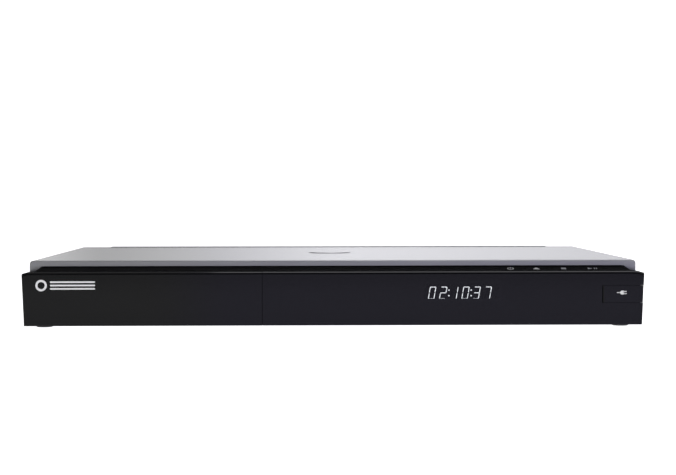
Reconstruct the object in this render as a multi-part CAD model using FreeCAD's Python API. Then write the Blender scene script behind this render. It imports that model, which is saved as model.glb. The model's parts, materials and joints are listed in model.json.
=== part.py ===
import FreeCAD, Part
import math
import os

os.makedirs("parts", exist_ok=True)
Vector = FreeCAD.Vector

# A full-width set-top video recorder with a disc drawer and a hard disk.
# Millimetres. +X is right as seen from the front, -Y is the front, +Z is up.
# The origin is the centre of the bounding box, at the level of the table.

# ---- driving dimensions: outside ------------------------------------------------
WIDTH = 430.0            # front panel, end to end
DEPTH = 288.0            # front face to the tips of the aerial connectors
FACE_LOW = 3.0           # lower edge of the front panel above the table
FACE_TOP = 39.1          # where the front face turns into the rounded top edge
PANEL_TOP = 40.4         # top of that rounded edge
END_TAPER = 1.5          # how much each end draws in from top to bottom
SHOULDER = 206.7         # where the panel's level top edge begins to drop to its end
FRAME_T = 2.0            # wall of the front frame
FRAME_END = 3.5          # its end walls
PANEL_T = 2.5            # thickness of the glossy front panels
EDGE_R = 2.0             # rounding of the panels' top front edge
LOW_EDGE_R = 0.5         # and of their lower edge
LEDGE_DEPTH = 14.0       # front face to the front of the metal cover
LEDGE_TOP = 43.3         # rear edge of the sloping ledge
LEDGE_HALF = 203.5       # half the length of that rear edge
COVER_HALF = 211.8       # half the width of the metal cover
COVER_TOP = 47.6
COVER_LIP = 3.9          # height of the cover's folded front lip
COVER_SIDE_R = 2.6       # bend along the cover's long top edges
COVER_END_R = 0.9        # bend along its front and rear top edges
SHEET = 0.8              # cover sheet
PLATE = 1.0              # chassis and rear panel sheet
RIB_HALF = 185.5         # half the length of the raised rib at the cover's rear edge
RIB_W = 5.0
RIB_H = 0.6
BOSS_X = -1.0            # low round boss pressed into the cover
BOSS_Y = 6.0
BOSS_R = 16.5
BOSS_H = 0.5
CONNECTOR_OUT = 10.0     # how far the aerial connectors stand out of the rear panel
CHASSIS_Z = 4.0          # underside of the chassis
FOOT_X = 204.5
FOOT_R = 5.6
PAD_H = 0.8

FACE_Y = -DEPTH / 2

# ---- driving dimensions: joints and moving pieces -----------------------------------
SEAM_X = -49.5           # middle of the gap between the drawer's panel and the fascia
SEAM_HALF = 0.15
USB_LEFT = 186.0         # left edge of the socket cover
USB_LOW = 18.4
USB_HIGH = 30.2
GAP = 0.3                # gap round the drawer and its rails
CLOSE_GAP = 0.2          # gap round the socket cover and the keys
HINGE_R = 1.2            # rounded, hinged edge of the socket cover
HINGE_PIN_R = 0.6
PIN_CLEARANCE = 0.05
KEY_X = (123.0, 141.0, 160.0, 180.0)
KEY_W = 15.0
KEY_D = 7.0
KEY_Y = FACE_Y + 7.6
SWITCH_H = 3.0
USB_WRAP = 10.0          # how far the socket cover reaches round the panel's end
USB_X = 199.5            # middle of the socket
WINDOW_LEFT = 60.0
WINDOW_RIGHT = 116.0
WINDOW_LOW = 19.5
WINDOW_HIGH = 33.5
SEGMENTS = {"0": "abcdef", "1": "bc", "2": "abged", "3": "abgcd", "7": "abc"}
DIGIT_W = 4.3
DIGIT_H = 8.5
DIGIT_STROKE = 0.45
DIGIT_BREAK = 0.2        # gap between the ends of two segments
DIGIT_T = 0.15
DIGIT_LOW = 21.0
DIGIT_PITCH = 7.72
FIRST_DIGIT_X = 65.1
DRIVE_X = -132.0         # middle of the disc drive
DISC_Y = -75.0           # spindle
TRAY_HALF = 65.0
TRAY_LOW = 20.0
TRAY_TOP = 27.0
TRAY_BACK = 40.0
SLOT_HALF = 21.0         # half the width of the tray's slot over the spindle
GEAR_MODULE = 1.0
GEAR_TEETH = 20
GEAR_X = -177.0
GEAR_Y = -112.0
MOTOR_X = -140.0         # loading motor
PINION_LOW = 16.5
PINION_HIGH = 19.3
PULLEY_LOW = 9.6
BELT_R = 12.3            # belt's radius on the gear's wheel
BELT_SMALL_R = 2.8       # and on the motor's pulley
DRIVE_HALF = 74.0
DRIVE_BACK = 66.0
DRIVE_FLOOR = 8.0
BRIDGE_Z = 34.0          # underside of the strip that carries the clamp
ROD_Z = 17.0
SCREW_X = DRIVE_X + 38.0
SCREW_Z = 11.5
SCREW_PITCH = 3.6
FAN_X = 120.0
FAN_Z = 25.0
FAN_HALF = 20.0
FAN_CORNERS = [(a, b) for a in (-16, 16) for b in (-16, 16)]

# ---- driving dimensions: rear connectors, boards, hard disk ------------------------------
TUNER_X = (-178.0, -150.0)
TUNER_Z = 23.0
RCA_X = (-46.0, -31.0, -16.0)
RCA_Z = (19.5, 33.0)
HDMI_X = 8.0
LAN_X = 34.0
OPTICAL_X = 56.0
PORT_Z = 19.0
INLET_X = 180.0
INLET_Z = 22.0
INLET_SCREW = 16.5
SIDE_SCREWS = [(y, 11.0) for y in (-92.0, 100.0)]
REAR_SCREWS_X = (-150.0, -52.0, 60.0, 158.0)
REAR_SCREW_Z = 43.0
REAR_MOUTH_TOP = 39.0
SIDE_VENTS_Y = [34.0 + i * 6.5 for i in range(14)]
BOARD_Z = 11.0
BOARD_T = 1.6
KEY_BOARD_Z = 27.0
MAIN_X = (-57.0, 94.0)
MAIN_Y = (44.0, 130.5)
TUNER_BOARD_X = (-200.0, -62.0)
TUNER_BOARD_Y = (74.0, 130.5)
POWER_X = (104.0, 204.0)
POWER_Y = (-102.0, 112.0)
BOARD_TOP = BOARD_Z + BOARD_T
STAND_PLACES = ([(x, y) for x in (MAIN_X[0] + 5, MAIN_X[1] - 5) for y in (MAIN_Y[0] + 5, 110.0)]
                + [(x, y) for x in (TUNER_BOARD_X[0] + 5, TUNER_BOARD_X[1] - 5)
                   for y in (TUNER_BOARD_Y[0] + 5, 110.0)]
                + [(x, y) for x in (POWER_X[0] + 5, POWER_X[1] - 5)
                   for y in (POWER_Y[0] + 5, 5.0, POWER_Y[1] - 5)])
DISK_X = (-43.0, 58.6)
DISK_Y = (-111.0, 35.0)
DISK_Z = (12.0, 38.1)
DISK_SCREWS_Y = (-82.5, 19.0)
DISK_SCREW_Z = DISK_Z[0] + 6.3

# ---- places that follow -------------------------------------------------------------
END = WIDTH / 2
PANEL_BACK = FACE_Y + PANEL_T
COVER_FRONT = FACE_Y + LEDGE_DEPTH
REAR_FACE = DEPTH / 2 - CONNECTOR_OUT
COVER_BACK = REAR_FACE + 1.0
FLOOR = CHASSIS_Z + PLATE
CHASSIS_HALF = COVER_HALF - SHEET - 0.2
CHASSIS_FRONT = COVER_FRONT + SHEET + 0.2
CHASSIS_BACK = REAR_FACE - PLATE
USB_MID_Z = (USB_LOW + USB_HIGH) / 2
USB_BOARD_Z = USB_MID_Z - 2.9 - BOARD_T
KEY_STEM_Z = KEY_BOARD_Z + BOARD_T + SWITCH_H + 1.5
LEDGE_BACK = COVER_FRONT - 0.3
DRIVE_FRONT = CHASSIS_FRONT + 1.2
DIGIT_Y = PANEL_BACK - 0.1
HINGE_X = USB_LEFT + HINGE_R
HINGE_Y = FACE_Y + HINGE_R
FOOT_Y = (FACE_Y + 33.0, REAR_FACE - 22.0)


# ---- helpers ------------------------------------------------------------------------
def block(x0, x1, y0, y1, z0, z1):
    return Part.makeBox(x1 - x0, y1 - y0, z1 - z0, Vector(x0, y0, z0))


def post(x, y, z0, z1, r):
    """A vertical round bar."""
    return Part.makeCylinder(r, z1 - z0, Vector(x, y, z0))


def bar_x(x0, x1, y, z, r):
    return Part.makeCylinder(r, x1 - x0, Vector(x0, y, z), Vector(1, 0, 0))


def bar_y(x, y0, y1, z, r):
    return Part.makeCylinder(r, y1 - y0, Vector(x, y0, z), Vector(0, 1, 0))


def prism(points, axis, low, high):
    """A polygon extruded along axis; points hold the other two coordinates in X, Y, Z order."""
    place = {"x": lambda a, b: Vector(low, a, b),
             "y": lambda a, b: Vector(a, low, b),
             "z": lambda a, b: Vector(a, b, low)}[axis]
    step = high - low
    along = {"x": Vector(step, 0, 0), "y": Vector(0, step, 0), "z": Vector(0, 0, step)}[axis]
    corners = [place(a, b) for a, b in points]
    return Part.Face(Part.makePolygon(corners + corners[:1])).extrude(along)


def fuse(*solids):
    return solids[0].fuse(list(solids[1:])).removeSplitter()


def group(solids):
    return Part.makeCompound(list(solids))


def round_edges(shape, radius, wanted):
    """Round the straight edges whose two end points both satisfy wanted(point)."""
    edges = [e for e in shape.Edges
             if len(e.Vertexes) == 2 and all(wanted(v.Point) for v in e.Vertexes)]
    return shape.makeFillet(radius, edges)


def near(a, b):
    return abs(a - b) < 0.01


def slots_x(x0, x1, y0, y1, z0, z1, count, pitch):
    """Cutting blocks in a row along X."""
    return [block(x0 + i * pitch, x1 + i * pitch, y0, y1, z0, z1) for i in range(count)]


def stadium(x, z, half_w, r, y0, y1):
    """A flat oval bar along Y: two half-rounds of radius r, half_w from the middle to each centre."""
    return fuse(bar_y(x - half_w, y0, y1, z, r), bar_y(x + half_w, y0, y1, z, r),
                block(x - half_w, x + half_w, y0, y1, z - r, z + r))


def screw(x, y, z, outward, length, head_r=3.0, shank_r=1.45):
    """Pan-head screw with a cross recess; the head's underside is at the given point."""
    head_h = 1.8
    out = Vector(*outward)
    head = Part.makeCylinder(head_r, head_h, Vector(x, y, z), out)
    head = head.makeFillet(0.7, [e for e in head.Edges if e.Curve.TypeId == "Part::GeomCircle"
                                 and near(out.dot(e.Curve.Center - Vector(x, y, z)), head_h)])
    shank = Part.makeCylinder(shank_r, length, Vector(x, y, z), out * -1)
    across = [block(-head_r * 0.55, head_r * 0.55, -0.4, 0.4, -1.0, 0.2),
              block(-0.4, 0.4, -head_r * 0.55, head_r * 0.55, -1.0, 0.2)]
    tip = Vector(x, y, z) + out * head_h
    turn = FreeCAD.Rotation(Vector(0, 0, 1), out)
    cuts = []
    for piece in across:
        piece.Placement = FreeCAD.Placement(tip, turn)
        cuts.append(piece)
    return head.fuse(shank).cut(cuts)


def screw_set(places, outward, length, **sizes):
    return [screw(x, y, z, outward, length, **sizes) for x, y, z in places]


def end_outline(low, x_from=None, x_to=None):
    """Outline of the front panel in X and Z: drawn-in ends and gently dropped top corners."""
    right = [(END - END_TAPER, low), (END, FACE_TOP), (END - 4.0, PANEL_TOP - 0.2), (SHOULDER, PANEL_TOP)]
    left = [(-x, z) for x, z in reversed(right)]
    if x_from is None and x_to is None:
        return right + left
    if x_to is None:
        return right + [(x_from, PANEL_TOP), (x_from, low)]
    return left + [(x_to, low), (x_to, PANEL_TOP)]


# ---- casing -------------------------------------------------------------------------
def long_top_edges(box, top):
    """A box's two upper edges that run from front to back."""
    return [e for e in box.Edges if all(near(v.Z, top) for v in e.Vertexes)
            and near(e.Vertexes[0].X, e.Vertexes[1].X)]


def make_top_cover():
    outer = block(-COVER_HALF, COVER_HALF, COVER_FRONT, COVER_BACK, CHASSIS_Z + 0.4, COVER_TOP)
    outer = outer.makeFillet(COVER_SIDE_R, long_top_edges(outer, COVER_TOP))
    outer = round_edges(outer, COVER_END_R, lambda p: near(abs(p.y - (COVER_FRONT + COVER_BACK) / 2),
                                                           (COVER_BACK - COVER_FRONT) / 2)
                        and p.z > COVER_TOP - COVER_SIDE_R - 0.1)
    inner = block(-COVER_HALF + SHEET, COVER_HALF - SHEET, COVER_FRONT + SHEET, COVER_BACK - SHEET,
                  -1.0, COVER_TOP - SHEET)
    inner = inner.makeFillet(COVER_SIDE_R - SHEET, long_top_edges(inner, COVER_TOP - SHEET))
    cover = outer.cut(inner)
    front = (COVER_FRONT - 1, COVER_FRONT + 1.5)
    rear = (COVER_BACK - SHEET, COVER_BACK + 1)
    fold_half = COVER_HALF - 2 * SHEET
    mouths = [block(-LEDGE_HALF, LEDGE_HALF, *front, 0, COVER_TOP - COVER_LIP),
              block(-fold_half, fold_half, *front, 0, PANEL_TOP - 2.4),
              block(-COVER_HALF - 1, COVER_HALF + 1, *rear, 0, REAR_MOUTH_TOP),
              block(FAN_X - FAN_HALF - 1, FAN_X + FAN_HALF + 1, *rear, 0, FAN_Z + FAN_HALF - 0.4)]
    rib_y = COVER_BACK - 8.5
    rib = block(-RIB_HALF, RIB_HALF, rib_y, rib_y + RIB_W, COVER_TOP - 0.1, COVER_TOP + RIB_H)
    rib = round_edges(rib, 0.5, lambda p: near(p.z, COVER_TOP + RIB_H))
    rib_under = block(-RIB_HALF + SHEET, RIB_HALF - SHEET, rib_y + SHEET, rib_y + RIB_W - SHEET,
                      COVER_TOP - SHEET - 1, COVER_TOP + RIB_H - SHEET)
    boss = Part.makeCone(BOSS_R, BOSS_R - 0.7, BOSS_H, Vector(BOSS_X, BOSS_Y, COVER_TOP))
    boss_under = Part.makeCone(BOSS_R - 0.4, BOSS_R - 1.1, BOSS_H, Vector(BOSS_X, BOSS_Y, COVER_TOP - SHEET))
    cover = cover.fuse([rib, boss]).cut(mouths + [rib_under, boss_under])
    holes = [bar_x(-COVER_HALF - 1, COVER_HALF + 1, y, z, 1.7) for y, z in SIDE_SCREWS]
    holes += [bar_y(x, COVER_BACK - 2, COVER_BACK + 1, REAR_SCREW_Z, 1.7) for x in REAR_SCREWS_X]
    for side in (-1, 1):
        x0, x1 = sorted((side * (COVER_HALF - 2), side * (COVER_HALF + 1)))
        holes += [block(x0, x1, y, y + 2.4, 22.0, 38.0) for y in SIDE_VENTS_Y]
    return cover.cut(holes).removeSplitter()


def make_cover_screws():
    screws = []
    for y, z in SIDE_SCREWS:
        screws += screw_set([(COVER_HALF, y, z)], (1, 0, 0), 5.0)
        screws += screw_set([(-COVER_HALF, y, z)], (-1, 0, 0), 5.0)
    screws += screw_set([(x, COVER_BACK, REAR_SCREW_Z) for x in REAR_SCREWS_X], (0, 1, 0), 5.0)
    screws += screw_set([(INLET_X + s * INLET_SCREW, REAR_FACE + 2.0, INLET_Z) for s in (-1, 1)],
                        (0, 1, 0), 6.0, head_r=2.8)
    screws += screw_set([(FAN_X + a, REAR_FACE, FAN_Z + b) for a, b in FAN_CORNERS],
                        (0, 1, 0), 7.0)
    return group(screws)


def make_bottom_chassis():
    pan = block(-CHASSIS_HALF, CHASSIS_HALF, CHASSIS_FRONT, CHASSIS_BACK, CHASSIS_Z, CHASSIS_Z + 12.0)
    pan = round_edges(pan, 1.2, lambda p: near(p.z, CHASSIS_Z))
    hollow = block(-CHASSIS_HALF + PLATE, CHASSIS_HALF - PLATE, CHASSIS_FRONT + PLATE,
                   CHASSIS_BACK - PLATE, FLOOR, CHASSIS_Z + 13.0)
    pan = pan.cut(hollow)
    cuts = [bar_x(-END, END, y, z, 1.5) for y, z in SIDE_SCREWS]
    for y in (-88.0, -72.0, -56.0, -40.0):
        cuts += slots_x(-30.0, -28.0, y, y + 11.0, 3.0, 6.0, 15, 5.2)
        cuts += slots_x(118.0, 120.0, y, y + 11.0, 3.0, 6.0, 14, 5.2)
    for x in (-FOOT_X, FOOT_X):
        cuts += [post(x, y, 3.0, 6.0, 1.5) for y in FOOT_Y]
    cuts.append(block(-END, END, CHASSIS_BACK - 1.5, CHASSIS_BACK + 1, CHASSIS_Z + 5.0, CHASSIS_Z + 13.0))
    cuts.append(block(FAN_X - 21, FAN_X + 21, CHASSIS_BACK - 1.5, CHASSIS_BACK + 1, FLOOR, CHASSIS_Z + 6))
    return pan.cut(cuts).removeSplitter()


def make_feet():
    feet = []
    for x in (-FOOT_X, FOOT_X):
        for y in FOOT_Y:
            foot = Part.makeCone(FOOT_R, FOOT_R + 0.8, CHASSIS_Z - PAD_H, Vector(x, y, PAD_H))
            feet.append(foot.fuse(post(x, y, CHASSIS_Z, FLOOR + 0.9, 1.45)))
    return group(feet)


def make_foot_pads():
    return group([post(x, y, 0.0, PAD_H, FOOT_R - 0.1) for x in (-FOOT_X, FOOT_X) for y in FOOT_Y])


def make_rear_panel():
    half = CHASSIS_HALF - PLATE - 0.1
    top = COVER_TOP - SHEET - 0.2
    panel = block(-CHASSIS_HALF, CHASSIS_HALF, REAR_FACE - PLATE, REAR_FACE, CHASSIS_Z, top)
    panel = panel.makeFillet(2.0, long_top_edges(panel, top))
    flange = block(-half + 2, half - 2, REAR_FACE - 12.0, REAR_FACE - PLATE, top - PLATE, top)
    sides = [block(x, x + PLATE, REAR_FACE - 12.0, REAR_FACE - PLATE, 17.0, top - PLATE)
             for x in (-half, half - PLATE)]
    panel = fuse(panel, flange, *sides)
    y0, y1 = REAR_FACE - 3.0, REAR_FACE + 1.0
    cuts = [bar_y(x, y0, y1, TUNER_Z, 6.2) for x in TUNER_X]
    cuts += [bar_y(x, y0, y1, z, 5.2) for x in RCA_X for z in RCA_Z]
    cuts.append(block(HDMI_X - 7.8, HDMI_X + 7.8, y0, y1, PORT_Z - 3.2, PORT_Z + 3.2))
    cuts.append(block(LAN_X - 8.2, LAN_X + 8.2, y0, y1, 12.4, 26.4))
    cuts.append(block(OPTICAL_X - 5.2, OPTICAL_X + 5.2, y0, y1, 12.4, 24.0))
    cuts.append(block(INLET_X - 13.2, INLET_X + 13.2, y0, y1, INLET_Z - 8.2, INLET_Z + 8.2))
    cuts += [bar_y(x, y0, y1, INLET_Z, 1.5) for x in (INLET_X - INLET_SCREW, INLET_X + INLET_SCREW)]
    cuts += [bar_y(x, y0 - 2, y1, REAR_SCREW_Z, 1.5) for x in REAR_SCREWS_X]
    cuts += [bar_y(FAN_X + a, y0, y1, FAN_Z + b, 1.5) for a, b in FAN_CORNERS]
    for radius in (6.0, 10.0, 14.0, 18.0):
        ring = bar_y(FAN_X, y0, y1, FAN_Z, radius).cut(bar_y(FAN_X, y0, y1, FAN_Z, radius - 2.6))
        cross = [block(FAN_X - 20, FAN_X + 20, y0, y1, FAN_Z - 1.0, FAN_Z + 1.0),
                 block(FAN_X - 1.0, FAN_X + 1.0, y0, y1, FAN_Z - 20, FAN_Z + 20)]
        cuts.append(ring.cut(cross))
    cuts += slots_x(-134.0, -131.6, y0, y1, 12.0, 36.0, 13, 5.4)
    return panel.cut(cuts).removeSplitter()


# ---- front panel --------------------------------------------------------------------
def rounded_panel(outline, y0, y1):
    """A glossy front panel: rounded along the top, the outer end and the bottom."""
    panel = prism(outline, "y", y0, y1)
    panel = round_edges(panel, EDGE_R, lambda p: near(p.y, y0) and p.z > FACE_TOP - 0.1)
    return round_edges(panel, LOW_EDGE_R, lambda p: near(p.y, y0) and near(p.z, FACE_LOW))


def ledge_z(y):
    """Height of the sloping ledge at depth y."""
    return PANEL_TOP + (LEDGE_TOP - PANEL_TOP) * (y - PANEL_BACK) / (LEDGE_BACK - PANEL_BACK)


def key_box(x, margin, z0, z1):
    return block(x - KEY_W / 2 - margin, x + KEY_W / 2 + margin,
                 KEY_Y - KEY_D / 2 - margin, KEY_Y + KEY_D / 2 + margin, z0, z1)


def make_ledge():
    """The sloping top of the front frame, cut back steeply at both ends."""
    ledge = prism([(PANEL_BACK, PANEL_TOP - 1.0), (PANEL_BACK, PANEL_TOP), (LEDGE_BACK, LEDGE_TOP),
                   (LEDGE_BACK, PANEL_TOP - 1.0)], "x", -SHOULDER, SHOULDER)
    lean = (SHOULDER - LEDGE_HALF) / (LEDGE_TOP - PANEL_TOP)
    for side in (-1, 1):
        facet = [(side * SHOULDER, PANEL_TOP), (side * (SHOULDER - 5 * lean), PANEL_TOP + 5),
                 (side * (SHOULDER + 3), PANEL_TOP + 5), (side * (SHOULDER + 3), PANEL_TOP)]
        ledge = ledge.cut(prism(facet, "y", PANEL_BACK - 1, COVER_FRONT + 1))
    return ledge


def make_front_frame():
    back = COVER_FRONT - 0.1
    half = LEDGE_HALF - 1.5
    body = prism(end_outline(FACE_LOW), "y", PANEL_BACK, back)
    room = block(-END + FRAME_END, END - FRAME_END, PANEL_BACK + FRAME_T, back + 1.0,
                 FACE_LOW + FRAME_T, PANEL_TOP - FRAME_T)
    core = prism([(PANEL_BACK + 3.0, PANEL_TOP - 2.1), (back + 1, PANEL_TOP - 2.1),
                  (back + 1, LEDGE_TOP - FRAME_T), (PANEL_BACK + 8.0, PANEL_TOP - 0.3)], "x", -half, half)
    body = body.cut(room).fuse(make_ledge()).cut(core)
    y0, y1 = PANEL_BACK - 1.0, PANEL_BACK + 3.0
    leg_room = block(END - 2.5, END + 1, y0, FACE_Y + USB_WRAP + GAP,
                     USB_LOW - CLOSE_GAP, USB_HIGH + CLOSE_GAP)
    cuts = [block(DRIVE_X - TRAY_HALF - 2.5, DRIVE_X + TRAY_HALF + 2.5, y0, y1, TRAY_LOW - 4.5, TRAY_TOP + 4),
            block(WINDOW_LEFT - 3, WINDOW_RIGHT + 3, y0, y1, WINDOW_LOW - 0.5, WINDOW_HIGH + 0.5),
            block(USB_X - 7.2, USB_X + 7.2, y0, y1, USB_MID_Z - 3.7, USB_MID_Z + 3.7),
            bar_y(30.0, y0, y1, 25.0, 3.2), leg_room]
    cuts += [key_box(x, CLOSE_GAP, PANEL_TOP - 3.0, LEDGE_TOP + 1.0) for x in KEY_X]
    guide = [key_box(x, 1.3, PANEL_TOP - 5.0, PANEL_TOP - 1.0) for x in KEY_X]
    guide_room = [key_box(x, CLOSE_GAP, PANEL_TOP - 6.0, LEDGE_TOP + 1.0) for x in KEY_X]
    body = body.cut(cuts).fuse(guide).cut(guide_room)
    tabs = [block(x - 5, x + 5, back - 2.0, CHASSIS_FRONT - 0.1, FLOOR - 0.5, FLOOR + 1.8)
            for x in (-190.0, -100.0, 0.0, 95.0, 190.0)]
    tabs += [block(x - 1, x + 1, PANEL_BACK + 1.9, COVER_FRONT - 1, KEY_BOARD_Z - 1.4, KEY_BOARD_Z)
             for x in (KEY_X[0] - 2, KEY_X[-1] + 6)]
    tabs += [block(x - 1, x + 1, PANEL_BACK + 1.9, COVER_FRONT - 1, USB_BOARD_Z - 2.0, USB_BOARD_Z)
             for x in (USB_X - 7.5, USB_X + 6.5)]
    lip_y = COVER_FRONT + SHEET + 0.3
    shelf = block(-half, half, LEDGE_BACK - 1.0, lip_y + 1.0, LEDGE_TOP - 1.1, LEDGE_TOP - 0.1)
    lip = block(-half, half, lip_y, lip_y + 1.0, LEDGE_TOP - 1.1, COVER_TOP - SHEET - 1.0)
    return body.fuse(tabs + [shelf, lip]).removeSplitter()


def make_key(x):
    """A key whose top follows the ledge, with a stem down to its switch."""
    cap = key_box(x, 0.0, PANEL_TOP - 4.6, LEDGE_TOP + 1.0)
    above = prism([(FACE_Y, ledge_z(FACE_Y)), (COVER_FRONT, ledge_z(COVER_FRONT)),
                   (COVER_FRONT, LEDGE_TOP + 3), (FACE_Y, LEDGE_TOP + 3)], "x", x - 20, x + 20)
    stem = post(x, KEY_Y, KEY_STEM_Z, PANEL_TOP - 4.0, 1.6)
    return cap.cut(above).fuse(stem).removeSplitter()


def make_key_board():
    board = block(KEY_X[0] - 5, KEY_X[-1] + 9, PANEL_BACK + 2.2, COVER_FRONT - 0.5,
                  KEY_BOARD_Z, KEY_BOARD_Z + BOARD_T)
    pieces = [board]
    top = KEY_BOARD_Z + BOARD_T
    for x in KEY_X:
        pieces.append(block(x - 3, x + 3, KEY_Y - 3, KEY_Y + 3, top, top + SWITCH_H))
        pieces.append(post(x, KEY_Y, top + SWITCH_H, top + SWITCH_H + 0.5, 1.7))
    return fuse(*pieces)


def make_right_fascia():
    x_from = SEAM_X + SEAM_HALF
    panel = rounded_panel(end_outline(FACE_LOW, x_from=x_from), FACE_Y, PANEL_BACK)
    notch = block(USB_LEFT - CLOSE_GAP, END + 1, FACE_Y - 1, PANEL_BACK + 1,
                  USB_LOW - CLOSE_GAP, USB_HIGH + CLOSE_GAP)
    hole_r = HINGE_PIN_R + PIN_CLEARANCE
    pin_hole = post(HINGE_X, HINGE_Y, USB_LOW - 1.7, USB_HIGH + 1.7, hole_r)
    window = block(WINDOW_LEFT, WINDOW_RIGHT, FACE_Y - 1, PANEL_BACK + 1, WINDOW_LOW, WINDOW_HIGH)
    return panel.cut([notch, pin_hole, window]).removeSplitter()


def make_display_window():
    return block(WINDOW_LEFT, WINDOW_RIGHT, FACE_Y, PANEL_BACK - 0.5, WINDOW_LOW, WINDOW_HIGH)


def make_usb_cover():
    """Cover of the front socket: hinged at its left edge, wrapping round the right end."""
    back = FACE_Y + 2 * HINGE_R
    plate = block(HINGE_X, END + 1, FACE_Y, back, USB_LOW, USB_HIGH)
    leg = block(END - 2.3, END + 1, FACE_Y, FACE_Y + USB_WRAP, USB_LOW, USB_HIGH)
    edge = post(HINGE_X, HINGE_Y, USB_LOW, USB_HIGH, HINGE_R)
    cover = fuse(plate, leg, edge).common(prism(end_outline(FACE_LOW), "y", FACE_Y, 0.0))
    cover = round_edges(cover, 0.7, lambda p: near(p.y, FACE_Y) and p.x > END - 3)
    pin = post(HINGE_X, HINGE_Y, USB_LOW - 1.5, USB_HIGH + 1.5, HINGE_PIN_R)
    return cover.fuse(pin).removeSplitter()


def make_tray_bezel():
    x_to = SEAM_X - SEAM_HALF
    return rounded_panel(end_outline(FACE_LOW, x_to=x_to), FACE_Y, PANEL_BACK - GAP)


def digit(cell_x, name):
    """One slanted seven-segment digit on the display's glass."""
    w, h, t = DIGIT_W, DIGIT_H, DIGIT_STROKE
    slant = math.tan(math.radians(10))
    gap = DIGIT_BREAK
    half = h / 2
    across = {"a": h - t / 2, "g": half, "d": t / 2}
    upright = {"b": (w, half, h), "c": (w, 0, half), "f": (0, half, h), "e": (0, 0, half)}
    solids = []
    for segment in SEGMENTS[name]:
        if segment in across:
            z = across[segment]
            flat = [(gap + t / 2, z - t / 2), (w - gap - t / 2, z - t / 2), (w - gap, z),
                    (w - gap - t / 2, z + t / 2), (gap + t / 2, z + t / 2), (gap, z)]
        else:
            x, z0, z1 = upright[segment]
            x = x - t / 2 if x > 0 else x + t / 2
            z0, z1 = z0 + gap + t / 2, z1 - gap - t / 2
            flat = [(x - t / 2, z0), (x, z0 - t / 2), (x + t / 2, z0), (x + t / 2, z1),
                    (x, z1 + t / 2), (x - t / 2, z1)]
        leaning = [(cell_x + a + b * slant, DIGIT_LOW + b) for a, b in flat]
        solids.append(prism(leaning, "y", DIGIT_Y - DIGIT_T, DIGIT_Y))
    return solids


def make_display_digits():
    solids = []
    for place, name in enumerate("021037"):
        solids += digit(FIRST_DIGIT_X + place * DIGIT_PITCH, name)
    for after in (2, 4):
        x = FIRST_DIGIT_X + after * DIGIT_PITCH - 1.3
        for z in (DIGIT_LOW + 0.27 * DIGIT_H, DIGIT_LOW + 0.72 * DIGIT_H):
            solids.append(block(x, x + 0.8, DIGIT_Y - DIGIT_T, DIGIT_Y, z - 0.4, z + 0.4))
    return group(solids)


def make_display_module():
    glass = block(WINDOW_LEFT + 0.5, WINDOW_RIGHT - 0.5, DIGIT_Y, PANEL_BACK + 4.4,
                  WINDOW_LOW + 0.5, WINDOW_HIGH - 0.5)
    pins = [block(x, x + 8.0, PANEL_BACK + 4.4, COVER_FRONT - 4.0, 20.5, 22.0) for x in (62.0, 104.0)]
    return fuse(glass, *pins)


def make_front_boards():
    """The display board, the key board with its switches, and the socket board."""
    y0 = COVER_FRONT - 4.0
    board = block(-44.0, 186.0, y0, y0 + BOARD_T, 8.0, 25.5)
    receiver = block(26.5, 33.5, y0 - 5.5, y0, 21.0, 25.5)
    socket = block(-36.0, -12.0, y0 - 3.0, y0, 10.0, 15.0)
    chip = block(76.0, 90.0, y0 - 1.5, y0, 10.0, 18.0)
    usb_board = block(USB_X - 10.0, USB_X + 9.5, PANEL_BACK + 2.2, COVER_FRONT + 6.0,
                      USB_BOARD_Z, USB_BOARD_Z + BOARD_T)
    return group([fuse(board, receiver, socket, chip), make_key_board(), usb_board])


def make_usb_socket():
    x, z = USB_X, USB_MID_Z
    y0 = PANEL_BACK + 0.1
    shell = block(x - 6.6, x + 6.6, y0, y0 + 14.0, z - 2.85, z + 2.85)
    mouth = block(x - 6.25, x + 6.25, y0 - 1, y0 + 11.0, z - 2.5, z + 2.5)
    tongue = block(x - 5.6, x + 5.6, y0 + 1.5, y0 + 11.5, z + 0.4, z + 2.2)
    return shell.cut(mouth).fuse(tongue).removeSplitter()


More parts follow.
